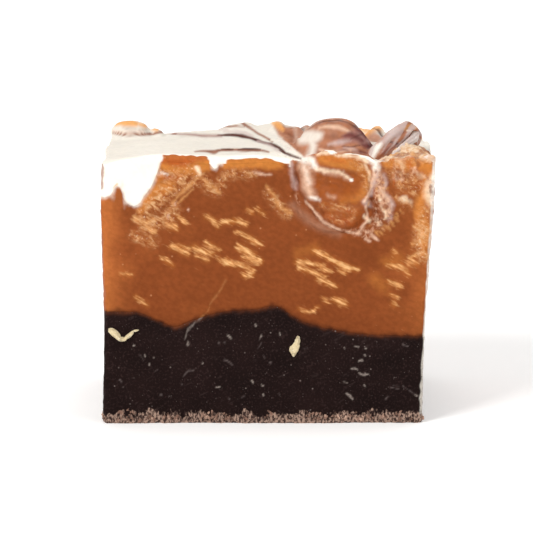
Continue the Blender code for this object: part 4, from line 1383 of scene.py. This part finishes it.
def dark_chocolate_material():
    """Near-black cut fudge with pale specks and scratches, rougher on the sides and greyer there, partly as
    a painted sheen.
    """
    s = Shader("dark_chocolate")
    film = s.attribute("film")
    fringe = s.attribute("fringe")
    fine = s.noise(0.32, 3)
    grain = s.noise(0.9, 4, (2.0, 1, 0.5), (0, 24, 0))
    colour = s.attribute("paint", "Color")
    colour = s.mix(colour, TONES["dark_mottle"], s.noise(0.26, 3).step(0.50, 0.75) * 0.8)
    colour = s.mix(colour, TONES["dark_drag"], grain.step(0.60, 0.80) * 0.4)
    specks = (0.11 - s.cells(1.15)).step(0.0, 0.05) * s.noise(3.0, 1).step(0.44, 0.54)
    dust = (0.13 - s.cells(0.50)).step(0.0, 0.05) * s.noise(1.8, 2).step(0.46, 0.58)
    scratch = (0.07 - s.cells(1.1, (3.2, 1, 0.45), (0, -38, 0))).step(0.0, 0.04)
    scratch = scratch * s.noise(2.6, 1).step(0.46, 0.58)
    colour = s.mix(colour, TONES["dark_speck"], specks * 0.7)
    colour = s.mix(colour, TONES["dark_dust"], dust * 0.8)
    colour = s.mix(colour, TONES["dark_scratch"], scratch * 0.7)
    # The side faces get a greyer, lighter colour: partly their smeared surface, partly a painted sheen.
    patches = s.noise(1.0, 5, (1, 1, 2.6)).step(0.32, 0.7)
    grey = s.mix(TONES["side_grey_and_sheen"], TONES["side_grey_and_sheen_light"], patches)
    flecks = (0.20 - s.cells(1.5, (1, 1, 1.8))).step(0.0, 0.08) * s.noise(3.0, 2).step(0.44, 0.56)
    grey = s.mix(grey, TONES["side_grey_fleck"], flecks)
    colour = s.mix(colour, grey, film * 0.92)
    lumps = s.noise(0.30, 3, (0.8, 1, 1.4)).step(0.40, 0.60)
    crumbly = s.mix(TONES["fringe"], TONES["fringe_light"], lumps)
    ragged = (s.noise(0.34, 3, (0.7, 1, 1.6)) - 0.5) * 1.3
    colour = s.mix(colour, crumbly, (fringe + ragged).step(0.42, 0.72))
    roughness = 0.50 + 0.14 * film + (fine - 0.5) * 0.3
    height = s.noise(0.45, 4) * 0.6 + s.noise(0.16, 2) * 0.25 + specks * 0.5
    return s.finish(Base_Color=colour, Roughness=roughness, Normal=s.bump(height, 0.07, 0.8),
                    Specular_IOR_Level=0.05)


def marbled_material(name):
    """Caramel and white and milk chocolate together, in the colours painted on the mesh."""
    look = bpy.context.scene.fudge_colours
    s = Shader(name)
    fine = s.noise(0.30, 3)
    film = s.attribute("film")
    crumbly = s.attribute("crumbly")
    toffee = s.attribute("toffee")
    colour = s.attribute("paint", "Color")
    sugar = s.attribute("sugar")
    hair = s.noise(0.42, 4, (2.8, 1, 0.60), (0, STREAK_SLANT, 0))
    streak = (sugar * 0.75 + hair * 1.3).step(0.86, 1.48)
    colour = s.mix(colour, TONES["streak"], streak * 0.85)
    colour = s.mix(colour, TONES["streak_light"], (sugar * 0.75 + hair * 1.5).step(1.30, 1.80) * 0.65)
    ragged = s.noise(0.62, 5, (1.4, 1, 0.8), (0, STREAK_SLANT, 0), warp=0.7)
    colour = s.mix(colour, TONES["crumbly"], crumbly * ragged.step(0.30, 0.60) * 0.7)
    colour = s.mix(colour, TONES["crumbly_light"], crumbly * ragged.step(0.46, 0.74) * 0.8)
    colour = s.mix(colour, TONES["crumbly_dark"], crumbly * (1 - ragged).step(0.50, 0.74) * 0.55)
    light = s.noise(0.30, 3).step(0.56, 0.76)
    colour = s.mix(colour, TONES["crumbly_fleck"], crumbly * light * 0.6)
    foam = s.noise(0.60, 4, (1, 1, 1.2), warp=0.3)
    froth = (s.attribute("froth") + (s.noise(1.1, 3) - 0.5) * 1.1).step(0.25, 0.85)
    net = (0.22 - s.lace(0.85, 0.9)).step(0.0, 0.20)
    colour = s.mix(colour, TONES["froth_dark"], froth * (1 - foam).step(0.40, 0.62) * 0.7)
    colour = s.mix(colour, TONES["froth_net"], froth * net * foam.step(0.38, 0.64) * 0.65)
    colour = s.mix(colour, TONES["froth_light"], froth * foam.step(0.58, 0.78) * 0.35)
    grain = s.noise(0.55, 4, (1.2, 1, 0.9), (0, STREAK_SLANT, 0))
    colour = s.scale(colour, 1 + (grain.step(0.30, 0.70) - 0.5) * (0.06 + 0.13 * toffee))
    dragged = s.noise(0.8, 3, (2.0, 1, 0.8), (0, STREAK_SLANT, 0)).step(0.5, 0.75)
    colour = s.mix(colour, look.caramel, toffee * dragged * 0.15)
    specks = (0.10 - s.cells(1.6)).step(0.0, 0.05) * s.noise(3.0, 1).step(0.50, 0.60)
    colour = s.mix(colour, TONES["caramel_speck"], specks * toffee * 0.35)

    # The side faces get a paler, duller caramel colour: partly their matte, smeared surface, partly a
    # painted sheen.
    dull_and_sheen = s.mix([c * 0.86 for c in look.side], [min(1, c * 1.22) for c in look.side],
                 s.noise(0.8, 5, (0.8, 0.8, 3.6)).step(0.34, 0.66))
    dull_and_sheen = s.mix(dull_and_sheen, TONES["side_dark"], s.noise(3.4, 4, (1, 1, 1.6)).step(0.54, 0.72) * 0.4)
    flakes = (0.17 - s.cells(1.1, (0.7, 0.7, 1.9))).step(0.0, 0.07) * s.noise(2.4, 2).step(0.50, 0.60)
    dull_and_sheen = s.mix(dull_and_sheen, TONES["side_flake"], flakes)
    colour = s.mix(colour, dull_and_sheen, film * toffee * 0.93)

    roughness = 0.42 + 0.14 * film + 0.12 * crumbly + (fine - 0.5) * 0.22
    height = s.noise(0.6, 3) * 0.35 + crumbly * ragged * 0.4 + froth * foam * 0.3
    height = height + film * s.noise(0.35, 4, (0.8, 0.8, 2.0)) * 0.9
    gloss = s.attribute("gloss") * s.noise(0.9, 2).step(0.35, 0.6)
    return s.finish(Base_Color=colour, Roughness=roughness, Normal=s.bump(height, 0.06, 0.8),
                    Specular_IOR_Level=0.0, Subsurface_Weight=0.03, Subsurface_Radius=(1.0, 0.45, 0.2),
                    Subsurface_Scale=0.9 * MM, Coat_Weight=gloss * 0.25, Coat_Roughness=0.2)


def nut_material():
    """Cream chopped nut, darker in random patches."""
    look = bpy.context.scene.fudge_colours
    s = Shader("nut")
    patch = s.noise(0.5, 4)
    colour = s.mix(look.nut, [c * 0.55 for c in look.nut], patch.step(0.45, 0.75))
    colour = s.mix(colour, TONES["nut_light"], s.noise(0.24, 3).step(0.55, 0.70) * 0.8)
    return s.finish(Base_Color=colour, Roughness=0.5 + patch * 0.2, Normal=s.bump(s.noise(0.2, 4), 0.08),
                    Specular_IOR_Level=0.3)


def crumb_material():
    """Crumbs dragged along the lower edge, from near black to a pinkish beige."""
    s = Shader("crumb")
    tone = s.attribute("tone") * 0.8 + (s.noise(1.3, 2) - 0.5) * 1.6 + (s.noise(0.25, 2) - 0.5) * 0.5 - 0.16
    colour = s.mix(TONES["crumb_dark"], TONES["crumb"], tone.step(0.20, 0.60))
    colour = s.mix(colour, TONES["crumb_light"], tone.step(0.60, 0.95))
    return s.finish(Base_Color=colour, Roughness=0.7, Normal=s.bump(s.noise(0.15, 3), 0.05),
                    Specular_IOR_Level=0.15)


def painted_caramel_glow(p):
    """How amber the caramel is, as a painted glow of light through it: near the upright edges and the top
    of the cut face.
    """
    left = np.exp(-(p[..., 0] - LEFT_WALL) / 2.3)
    right = np.exp(-(RIGHT_WALL + RIGHT_WALL_LEAN - p[..., 0]) / 2.6)
    upper = 0.75 * np.exp(-np.clip(33.0 - p[..., 2], 0, 99) / 1.3)
    return np.clip(left + 0.85 * right + upper, 0, 1) * facing_front(p)


def caramel_colours(p):
    """Colours of the cut caramel: a painted amber glow of light through it at its edges, darker down to a
    soft seam, and its marks.
    """
    look = bpy.context.scene.fudge_colours
    x, z = front_places(p)
    front = facing_front(p)
    # A painted glow: the caramel turns amber near its edges, as if lit through.
    glow = ease(painted_caramel_glow(p) + grained(p, "glow") * front)
    above = p[..., 2] - seam(p[..., 0], p[..., 1]) + grained(p, "seam_shade")
    tone = 1 - 0.10 * np.exp(-np.clip(above, 0, 99) / 2.5) + grained(p, "caramel_tone")
    base = blend(np.array(look.caramel), look.amber, glow) * tone[..., None]
    base = blend(np.array(look.dark) * 1.5, base, seam_share(p))
    marks = FRONT_MARKS + LUMP_MARKS + COMBED_MARKS
    base = laid(base, x, z, marks, grained(p, "mark_edge"), front)
    base = laid(base, x, z, SWEPT_MARKS, grained(dragged(p), "streak_edge") - 0.01, front)
    creep = white_pockets(p[..., 0]) * ease(0.5 + above_hang(p) / CREEP_WIDTH) * front
    return blend(base, look.white, creep)


def above_hang(p):
    """Distance of places above the lower side of the topping, with a ragged edge."""
    x, y, z = p[..., 0], p[..., 1], p[..., 2]
    step = 0.15
    slope = (hang(x + step, y) - hang(x - step, y)) / (2 * step)
    return (z - hang(x, y)) / np.sqrt(1 + slope ** 2) + grained(p, "hang")


def white_pockets(x):
    """1 where the topping that hangs into the caramel is white, along the cut front."""
    return np.maximum(ease((-12.6 - x) / 0.4), ease((x + 6.9) / 0.3) * ease((-5.0 - x) / 0.3))


def painted_edge_highlight(p):
    """1 along the right upright edge of the cut front, where a pale strip is a painted highlight."""
    inwards = right_wall(p[..., 2]) - p[..., 0] + grained(p, "edge_highlight_width")
    corner = ease((FRONT + 1.1 - p[..., 1]) / 0.5)
    return ease((EDGE_HIGHLIGHT_WIDTH - inwards) / 0.20) * corner * (0.85 + grained(p, "edge_highlight_strength"))


def front_masks(p):
    """Colours and masks of the cut front that both the caramel and the topping use."""
    x, z = front_places(p)
    # The pale strip along the right upright edge is a painted highlight.
    pale = painted_edge_highlight(p)
    front = facing_front(p)
    turn = math.radians(STREAK_SLANT)
    fray = grained(dragged(p), "streak_fray")
    sx, sz = x + fray * math.cos(turn), z + fray * math.sin(turn)
    sugar = shade(inside_any(sx, sz, SUGAR_STREAKS) + 0.14, 0.60)
    fine = 0.7 * shade(inside_any(sx, sz, FINE_STREAKS), 0.20)
    return {
        "paint": blend(caramel_colours(p), PALETTE["white"], pale * 0.85),
        "toffee": np.ones(x.shape),
        "crumbly": shade(inside_any(x, z, FRONT_CRUMBLY), 0.7) * front,
        "froth": shade(inside_any(x, z, FRONT_FROTH), 0.90) * front,
        "sugar": np.maximum(sugar, fine) * front,
        "film": side_film_and_sheen(p) * (1 - pale),
        "gloss": ease((1 - roll_distance(p)) / 0.2) * front,
    }


def topping_masks(p, on_top):
    """Colours and masks of the topping: caramel in the swirl and on the lower side walls, else white."""
    look = bpy.context.scene.fudge_colours
    x, y, z = p[..., 0], p[..., 1], p[..., 2]
    across, shown = top_places(p)
    dome, back = top_zones(p)
    masks = front_masks(p)
    front = facing_front(p) * (1 - on_top)
    rim = z - top(x, y) + grained(p, "topping_rim")
    side = x + grained(p, "topping_side")
    swirl = ease((x - 2.9) / 0.3) * ease((0.02 - rim) / 0.12)
    chunk = ease((side + 12.9) / 0.35) * ease((-6.8 - side) / 0.3)
    bright = ease((side + 5.1) / 0.35) * ease((3.2 - x) / 0.4) * ease((-0.30 - rim) / 0.15)
    drop = ease((top(x, y) - 1.3 + grained(p, "topping_drop") - z) / 0.4)
    walls = (1 - on_top) * (1 - front)
    creep = white_pockets(x) * ease(0.5 - above_hang(p) / CREEP_WIDTH)
    toffee = np.maximum(np.maximum(swirl, chunk), np.maximum(bright, creep))
    toffee = front * toffee + walls * drop * 0.9
    cream = np.array(look.white) * (1 + grained(p, "white_tone"))[..., None]
    # Painted shade: the white on top is up to 14 per cent darker than on the cut front, from just behind
    # the front edge.
    cream = cream * (1 - 0.14 * on_top * ease((y - FRONT - 0.5) / 7.0))[..., None]
    grain = grained(p, "top_mark_edge")
    cream = laid(cream, *front_places(p), POCKET_MARKS, grain, front)
    cream = laid(cream, across, shown, TOP_MARKS, grain, on_top * (1 - back))
    cream = laid(cream, across, shown, DOME_MARKS, grain * 3, on_top * dome)
    crumbled = crumbled_end(p)
    peach = blend(np.array(PALETTE["milk"]), PALETTE["cream"], ease(0.6 + grained(p, "lump_tone")))
    peach = blend(peach, PALETTE["apricot"], ease(grained(p, "lump_amber") - 0.4))
    cream = blend(cream, peach, 0.9 * crumbled * on_top)
    cream = laid(cream, x + grained(p, "back_x"), y + grained(p, "back_y"), BACK_MARKS, grain * 3,
                 on_top * back)
    brown = np.clip(1 - cream[..., 1:2] / 0.5, 0, 1) * on_top[..., None]
    cream = cream * (1 + brown * grained(p, "brown_tone")[..., None])
    masks["paint"] = blend(cream, masks["paint"], toffee)
    masks["toffee"] = toffee
    for key in ("crumbly", "froth", "sugar"):
        masks[key] = masks[key] * (1 - on_top) * toffee
    masks["crumbly"] = np.maximum(masks["crumbly"], crumbled * 0.8)
    masks["film"] = masks["film"] * walls
    masks["gloss"] = np.clip(masks["gloss"] * (1 - on_top) + on_top * ease((x - 3) / 4), 0, 1)
    return masks


def sign_in(piece, slot_name, *nodes):
    """Ties a finished piece to the frame's body and hides the nodes it stands for; slot_name is not used.
    """
    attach(piece, BODY)
    if nodes:
        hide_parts(*nodes)


class FUDGE_OT_stage(Operator):
    """Makes the pale floor, the soft lights and the camera"""

    bl_idname = "fudge.stage"
    bl_label = "Stage"

    def execute(self, context):
        scene = context.scene
        for obj in [o for o in bpy.data.objects if o.type in ("CAMERA", "LIGHT")]:
            bpy.data.objects.remove(obj)
        self.backdrop()
        for name, spot, size, power in LIGHTS:
            self.light(name, spot, size, power)
        world = bpy.data.worlds.new("studio")
        world.use_nodes = True
        sky = world.node_tree.nodes["Background"].inputs
        sky["Color"].default_value = STUDIO_COLOUR
        sky["Strength"].default_value = STUDIO_STRENGTH
        scene.world = world
        scene.view_settings.view_transform = "Standard"
        scene.view_settings.look = "None"
        self.camera(scene)
        return {"FINISHED"}

    def backdrop(self):
        """A floor that sweeps up behind the cube."""
        bm = bmesh.new()
        half, front, back, rise, radius = FLOOR
        line = [(front, 0.0), (back - radius, 0.0)]
        for k in range(1, FLOOR_STEPS + 1):
            a = math.radians(90 * k / FLOOR_STEPS)
            line.append((back - radius + radius * math.sin(a), radius - radius * math.cos(a)))
        line.append((back, rise))
        rows = [[bm.verts.new((x, y, z)) for x in (-half, half)] for y, z in line]
        for low, high in zip(rows, rows[1:]):
            bm.faces.new((low[0], low[1], high[1], high[0]))
        mesh = bpy.data.meshes.new("floor")
        bm.to_mesh(mesh)
        bm.free()
        mesh.shade_smooth()
        floor = bpy.data.objects.new("floor", mesh)
        bpy.context.scene.collection.objects.link(floor)
        shader = Shader("floor")
        mesh.materials.append(shader.finish(
            Base_Color=TONES["floor"], Roughness=0.9, Specular_IOR_Level=0.1,
            Emission_Color=(1.0, 1.0, 1.0), Emission_Strength=0.2))

    def light(self, name, spot, size, power):
        lamp = bpy.data.lights.new(name, "AREA")
        lamp.size = size
        lamp.energy = power
        lamp.color = LIGHT_COLOUR
        obj = bpy.data.objects.new(name, lamp)
        bpy.context.scene.collection.objects.link(obj)
        obj.location = spot
        obj.rotation_euler = (Vector(LIGHT_AIM) - Vector(spot)).to_track_quat("-Z", "Y").to_euler()

    def camera(self, scene):
        """The photo's viewing angle: from the front, 9 degrees above the level of the cube's middle."""
        lens = bpy.data.cameras.new("camera")
        lens.lens = CAMERA_LENS
        lens.sensor_width = SENSOR_WIDTH
        lens.clip_start = 0.01
        camera = bpy.data.objects.new("camera", lens)
        scene.collection.objects.link(camera)
        camera.location = Vector(CAMERA_PLACE) * MM
        aim = Vector(CAMERA_AIM) * MM
        camera.rotation_euler = (aim - camera.location).to_track_quat("-Z", "Y").to_euler()
        scene.camera = camera


class FUDGE_OT_dark_layer(Operator):
    """Makes the dark chocolate layer with its ragged lower edge"""

    bl_idname = "fudge.dark_layer"
    bl_label = "Dark chocolate layer"

    def execute(self, context):
        look = context.scene.fudge_colours
        upper = rim_heights(seam)
        shares = np.linspace(0, 1, BASE_ROWS) ** 1.15
        points, faces = layer_block(np.zeros(upper.shape), upper, shares, 0.0)
        across, up = front_places(points)
        base = np.array(look.dark) * (1 + grained(points, "dark_tone"))[:, None]
        base = blend(base, np.array(look.caramel) * 0.9, seam_share(points))
        groups = DARK_MARKS + (("speck", 0.55, 0.16, 0.0, (SCRATCH,)),)
        grain = grained(points, "speck_edge") - 0.05
        paint = laid(base, across, up, groups, grain, facing_front(points))
        # The pale strip along the right upright edge is a painted highlight.
        pale = painted_edge_highlight(points)
        masks = {
            "paint": blend(paint, PALETTE["ivory"], pale * 0.8),
            "film": side_film_and_sheen(points) * (1 - pale),
            "fringe": ease((2.1 + grained(points, "fringe") - points[:, 2]) / 1.6),
        }
        piece = finish_mesh("dark_layer", points, faces, dark_chocolate_material(), masks)
        sign_in(piece, "dark_chocolate", "dark_chocolate_base")
        return {"FINISHED"}


class FUDGE_OT_caramel_layer(Operator):
    """Makes the caramel layer with its sugar streaks"""

    bl_idname = "fudge.caramel_layer"
    bl_label = "Caramel layer"

    def execute(self, context):
        shares = np.linspace(0, 1, CARAMEL_ROWS)
        points, faces = layer_block(rim_heights(seam), rim_heights(hang), shares, LAYER_GAP)
        piece = finish_mesh("caramel_middle", points, faces, marbled_material("caramel"),
                            front_masks(points))
        sign_in(piece, "caramel", "caramel_layer")
        return {"FINISHED"}


class FUDGE_OT_topping(Operator):
    """Makes the marbled topping with its pocket, swirl and pulled folds"""

    bl_idname = "fudge.topping"
    bl_label = "Marbled topping"

    def execute(self, context):
        low = rim_heights(hang)
        x, y = place(PLAN_U, PLAN_V, TOP_LEVEL / 2)
        z = top(x, y)
        x, y = place(PLAN_U, PLAN_V, z)
        sheet = np.stack((x, y, z), -1)
        sheet[..., 2] += top_shift(sheet)
        wall = wall_points(low, sheet[tuple(RIM)][:, 2], np.linspace(0, 1, TOPPING_ROWS))
        wall = wall + wall_shift(wall)
        sheet = sheet + wall_shift(sheet)
        count = wall.shape[1]
        body = wall[:-1].reshape(-1, 3)
        first = len(body)
        index = first + np.arange(sheet.shape[0] * sheet.shape[1]).reshape(sheet.shape[:2])
        points = np.vstack((body, sheet.reshape(-1, 3)))
        faces = strip_faces(TOPPING_ROWS - 1, count)
        k, n = round_pairs(count)
        last = (TOPPING_ROWS - 2) * count
        ring = index[tuple(RIM)]
        faces += np.stack((last + k, last + n, ring[n], ring[k]), -1).tolist()
        quads = np.stack((index[:-1, :-1], index[1:, :-1], index[1:, 1:], index[:-1, 1:]), -1)
        faces += quads.reshape(-1, 4).tolist()
        on_top = np.zeros(len(points))
        inner = np.zeros(sheet.shape[:2])
        inner[1:-1, 1:-1] = 1.0
        on_top[first:] = inner.reshape(-1)
        points = cap(points, faces, range(count), LAYER_GAP, upwards=False)
        on_top = np.concatenate((on_top, np.zeros(len(points) - len(on_top))))
        piece = finish_mesh("marbled_top", points, faces, marbled_material("marbled_topping"),
                            topping_masks(points, on_top))
        sign_in(piece, "marbled_topping", "marbled_topping")
        return {"FINISHED"}


class FUDGE_OT_pulled_tip(Operator):
    """Makes the twisted ribbon that stands up at the right and curls over"""

    bl_idname = "fudge.pulled_tip"
    bl_label = "Pulled tip"
    SIDES = 56
    TWIST = math.radians(220)
    FLATNESS = 0.78
    RIDGES = ((0.16, 3, 1), (0.07, 7, -2))

    def execute(self, context):
        points, faces, streaks, base = [], [], [], []
        first = 0
        for path, steps, ground in ((TIP_PATH, 22, "latte"), (STRAND_PATH, 18, "ivory")):
            made, streak = self.strand(path, steps)
            count = len(made) // self.SIDES
            faces += strip_faces(count, self.SIDES, first)
            last = first + (count - 1) * self.SIDES
            faces.append(list(range(first, first + self.SIDES))[::-1])
            faces.append(list(range(last, last + self.SIDES)))
            first += len(made)
            points.append(made)
            streaks.append(streak)
            base.append(np.tile(PALETTE[ground], (len(made), 1)))
        points, streaks = np.vstack(points), np.concatenate(streaks)
        across, shown = top_places(points)
        paint = laid(np.vstack(base), across, shown, RIBBON_MARKS, grained(points, "ribbon_edge"))
        paint = blend(paint, PALETTE["lilac"], 0.78 * ease(streaks / 0.3 + 0.3))
        paint = blend(paint, PALETTE["milk"], 0.36 * ease(-streaks / 0.4))
        masks = {"paint": paint, "gloss": np.ones(len(points))}
        for key in ("froth", "toffee", "crumbly", "sugar", "film"):
            masks[key] = np.zeros(len(points))
        piece = finish_mesh("pulled_tip", points, faces, marbled_material("pulled_tip"), masks)
        sign_in(piece, "marbled_topping")
        return {"FINISHED"}

    def strand(self, path, steps):
        """Rings of points along a twisted strand, and the streaks that run round it with the twist."""
        line = smooth_curve(path, steps)
        along = np.linspace(0, 1, len(line))
        rings = []
        for k, (x, y, z, radius) in enumerate(line):
            before, after = line[max(0, k - 1)], line[min(len(line) - 1, k + 1)]
            turn = Vector(after[:3] - before[:3]).to_track_quat("Z", "Y")
            twist = self.TWIST * along[k]
            end = math.sqrt(max(0.001, 1 - (abs(along[k] - 0.5) * 2) ** 14))
            for side in range(self.SIDES):
                angle = math.tau * side / self.SIDES
                ridge = 1 + sum(high * math.cos(count * angle + turns * twist)
                                for high, count, turns in self.RIDGES)
                spoke = Vector((math.cos(angle), self.FLATNESS * math.sin(angle), 0))
                spoke *= radius * ridge * end
                rings.append(Vector((x, y, z)) + turn @ spoke)
        points = np.array(rings, float)
        points = points + 0.10 * np.stack([rough(points, 0.9, 3, 80 + axis) for axis in range(3)], -1)
        angle = np.tile(math.tau * np.arange(self.SIDES) / self.SIDES, len(line))
        far = np.repeat(along, self.SIDES)
        angle = angle + self.TWIST * far
        twisted = np.stack((np.cos(angle), np.sin(angle), 1.6 * far), -1)
        return points, grained(twisted, "ribbon_streaks")


class FUDGE_OT_nuts(Operator):
    """Makes the nut pieces that show in the dark layer"""

    bl_idname = "fudge.nuts"
    bl_label = "Nut pieces"

    def execute(self, context):
        bm = bmesh.new()
        for k, (x, y, z, half_x, half_y, half_z, turn) in enumerate(NUTS):
            made = bmesh.ops.create_icosphere(bm, subdivisions=4, radius=1.0)["verts"]
            ball = np.array([v.co for v in made])
            ball = ball * (1 + 0.45 * rough(ball + 7 * k, 0.8, 3, 90 + k))[:, None]
            away = Matrix.Translation((x, y, z)) @ Euler((0, math.radians(turn), 0)).to_matrix().to_4x4()
            away = away @ Matrix.Diagonal((half_x, half_y, half_z, 1))
            for vertex, co in zip(made, ball):
                vertex.co = away @ Vector(co)
        bm.transform(Matrix.Scale(MM, 4))
        mesh = bpy.data.meshes.new("nut_pieces")
        bm.to_mesh(mesh)
        bm.free()
        mesh.shade_smooth()
        mesh.materials.append(nut_material())
        piece = bpy.data.objects.new("nut_pieces", mesh)
        context.scene.collection.objects.link(piece)
        sign_in(piece, "nut")
        return {"FINISHED"}


class FUDGE_OT_crumbs(Operator):
    """Scatters the crumbs along the lower edge"""

    bl_idname = "fudge.crumbs"
    bl_label = "Crumbs"

    def execute(self, context):
        sizes = context.scene.fudge_sizes
        count = len(RIM[0])
        foot = wall_points(np.zeros(count), np.zeros(count), (0.0,))[0]
        uneven = 0.80 + grained(foot, "band_swell") + grained(foot, "band_edge")
        band = sizes.crumb_band / MM * uneven
        wall = wall_points(np.full(count, CRUMB_FOOT), np.maximum(band, CRUMB_TOP),
                           np.linspace(0, 1, CRUMB_ROWS))
        wall = wall + wall_shift(wall)
        bed = finish_mesh("crumbs", wall.reshape(-1, 3), strip_faces(CRUMB_ROWS, count), crumb_material())
        tree = crumb_tree()
        modifier = bed.modifiers.new("scatter", "NODES")
        modifier.node_group = tree
        values = {
            "Density": sizes.crumb_density / MM ** 2,
            "Smallest": sizes.crumb_smallest,
            "Largest": sizes.crumb_largest,
            "Seed": sizes.seed,
            "Material": bed.data.materials[0],
        }
        for item in tree.interface.items_tree:
            if item.item_type == "SOCKET" and item.in_out == "INPUT" and item.name in values:
                modifier[item.identifier] = values[item.name]
        bed.update_tag()
        graph = context.evaluated_depsgraph_get()
        made = bpy.data.meshes.new_from_object(bed.evaluated_get(graph))
        bed.modifiers.clear()
        bed.data = made
        sign_in(bed, "dark_chocolate")
        return {"FINISHED"}


def crumb_tree():
    """Geometry Nodes that scatter lumpy crumbs over a surface."""
    tree = bpy.data.node_groups.new("crumb_scatter", "GeometryNodeTree")
    for name, kind in (("Geometry", "NodeSocketGeometry"), ("Density", "NodeSocketFloat"),
                       ("Smallest", "NodeSocketFloat"), ("Largest", "NodeSocketFloat"),
                       ("Seed", "NodeSocketInt"), ("Material", "NodeSocketMaterial")):
        tree.interface.new_socket(name, in_out="INPUT", socket_type=kind)
    tree.interface.new_socket("Geometry", in_out="OUTPUT", socket_type="NodeSocketGeometry")

    def add(kind, settings=None, values=None):
        node = tree.nodes.new(kind)
        for key, value in (settings or {}).items():
            setattr(node, key, value)
        for key, value in (values or {}).items():
            if isinstance(value, bpy.types.NodeSocket):
                tree.links.new(value, node.inputs[key])
            else:
                node.inputs[key].default_value = value
        return node

    given = add("NodeGroupInput").outputs
    here = add("GeometryNodeInputPosition").outputs[0]
    patches = add("ShaderNodeTexNoise", values={"Vector": here, "Scale": 0.75 / MM, "Detail": 2.0})
    patchy = add("ShaderNodeMapRange", values={
        "Value": patches.outputs[0], "From Min": 0.42, "From Max": 0.56})
    level = add("ShaderNodeSeparateXYZ", values={0: here}).outputs[2]
    thinning = add("ShaderNodeMapRange", values={
        "Value": level, "From Min": 0.6 * MM, "From Max": 1.8 * MM, "To Min": 1.0, "To Max": 0.05})
    share = add("ShaderNodeMath", {"operation": "MULTIPLY"}, {0: patchy.outputs[0], 1: thinning.outputs[0]})
    density = add("ShaderNodeMath", {"operation": "MULTIPLY"}, {0: share.outputs[0], 1: given["Density"]})
    points = add("GeometryNodeDistributePointsOnFaces", values={
        "Mesh": given["Geometry"], "Density": density.outputs[0], "Seed": given["Seed"]})
    crumb = add("GeometryNodeMeshIcoSphere", values={"Radius": 1.0, "Subdivisions": 2})
    chance = add("FunctionNodeRandomValue", {"data_type": "FLOAT"}, {"Seed": given["Seed"]})
    cubed = add("ShaderNodeMath", {"operation": "POWER"}, {0: chance.outputs[1], 1: 3.6})
    size = add("ShaderNodeMapRange", values={
        "Value": cubed.outputs[0], "To Min": given["Smallest"], "To Max": given["Largest"]})
    squash = add("FunctionNodeRandomValue", {"data_type": "FLOAT_VECTOR"}, {
        0: (0.45, 0.45, 0.6), 1: (0.9, 0.8, 2.2), "Seed": given["Seed"]})
    scale = add("ShaderNodeVectorMath", {"operation": "SCALE"}, {
        0: squash.outputs[0], "Scale": size.outputs[0]})
    spin = add("FunctionNodeRandomValue", {"data_type": "FLOAT_VECTOR"}, {
        0: (-0.9, -0.9, 0.0), 1: (0.9, 0.9, math.tau), "Seed": given["Seed"]})
    shade_of = add("FunctionNodeRandomValue", {"data_type": "FLOAT"}, {"Seed": given["Seed"]})
    toned = add("GeometryNodeStoreNamedAttribute", {"data_type": "FLOAT"}, {
        "Geometry": points.outputs["Points"], "Name": "tone", "Value": shade_of.outputs[1]})
    placed = add("GeometryNodeInstanceOnPoints", values={
        "Points": toned.outputs["Geometry"], "Instance": crumb.outputs["Mesh"],
        "Rotation": spin.outputs[0], "Scale": scale.outputs[0]})
    whole = add("GeometryNodeRealizeInstances", values={"Geometry": placed.outputs["Instances"]})
    lumps = add("ShaderNodeTexNoise", values={"Vector": here, "Scale": 5.5 / MM, "Detail": 1.0})
    centred = add("ShaderNodeVectorMath", {"operation": "SUBTRACT"}, {
        0: lumps.outputs["Color"], 1: (0.5, 0.5, 0.5)})
    push = add("ShaderNodeVectorMath", {"operation": "SCALE"}, {0: centred.outputs[0], "Scale": 0.30 * MM})
    moved = add("GeometryNodeSetPosition", values={
        "Geometry": whole.outputs[0], "Offset": push.outputs[0]})
    joined = add("GeometryNodeRealizeInstances", values={"Geometry": moved.outputs[0]})
    painted = add("GeometryNodeSetMaterial", values={
        "Geometry": joined.outputs[0], "Material": given["Material"]})
    add("NodeGroupOutput", values={"Geometry": painted.outputs[0]})
    return tree


class FUDGE_PT_panel(Panel):
    """Lists the steps that build the fudge"""

    bl_idname = "FUDGE_PT_panel"
    bl_label = "Layered fudge cube"
    bl_space_type = "VIEW_3D"
    bl_region_type = "UI"
    bl_category = "Fudge"

    def draw(self, context):
        for group in (context.scene.fudge_sizes, context.scene.fudge_colours):
            for name in group.bl_rna.properties.keys():
                if name not in ("rna_type", "name"):
                    self.layout.prop(group, name)
        for step in STEPS:
            self.layout.operator(step.bl_idname)


STEPS = (
    FUDGE_OT_stage, FUDGE_OT_dark_layer, FUDGE_OT_caramel_layer, FUDGE_OT_topping,
    FUDGE_OT_pulled_tip, FUDGE_OT_nuts, FUDGE_OT_crumbs,
)
CLASSES = (FudgeSizes, FudgeColours, *STEPS, FUDGE_PT_panel)


def register():
    for cls in CLASSES:
        bpy.utils.register_class(cls)
    bpy.types.Scene.fudge_sizes = PointerProperty(type=FudgeSizes)
    bpy.types.Scene.fudge_colours = PointerProperty(type=FudgeColours)


def unregister():
    del bpy.types.Scene.fudge_sizes
    del bpy.types.Scene.fudge_colours
    for cls in reversed(CLASSES):
        bpy.utils.unregister_class(cls)


def main():
    register()
    for step in STEPS:
        group, name = step.bl_idname.split(".")
        getattr(getattr(bpy.ops, group), name)()


if __name__ == "__main__":
    main()
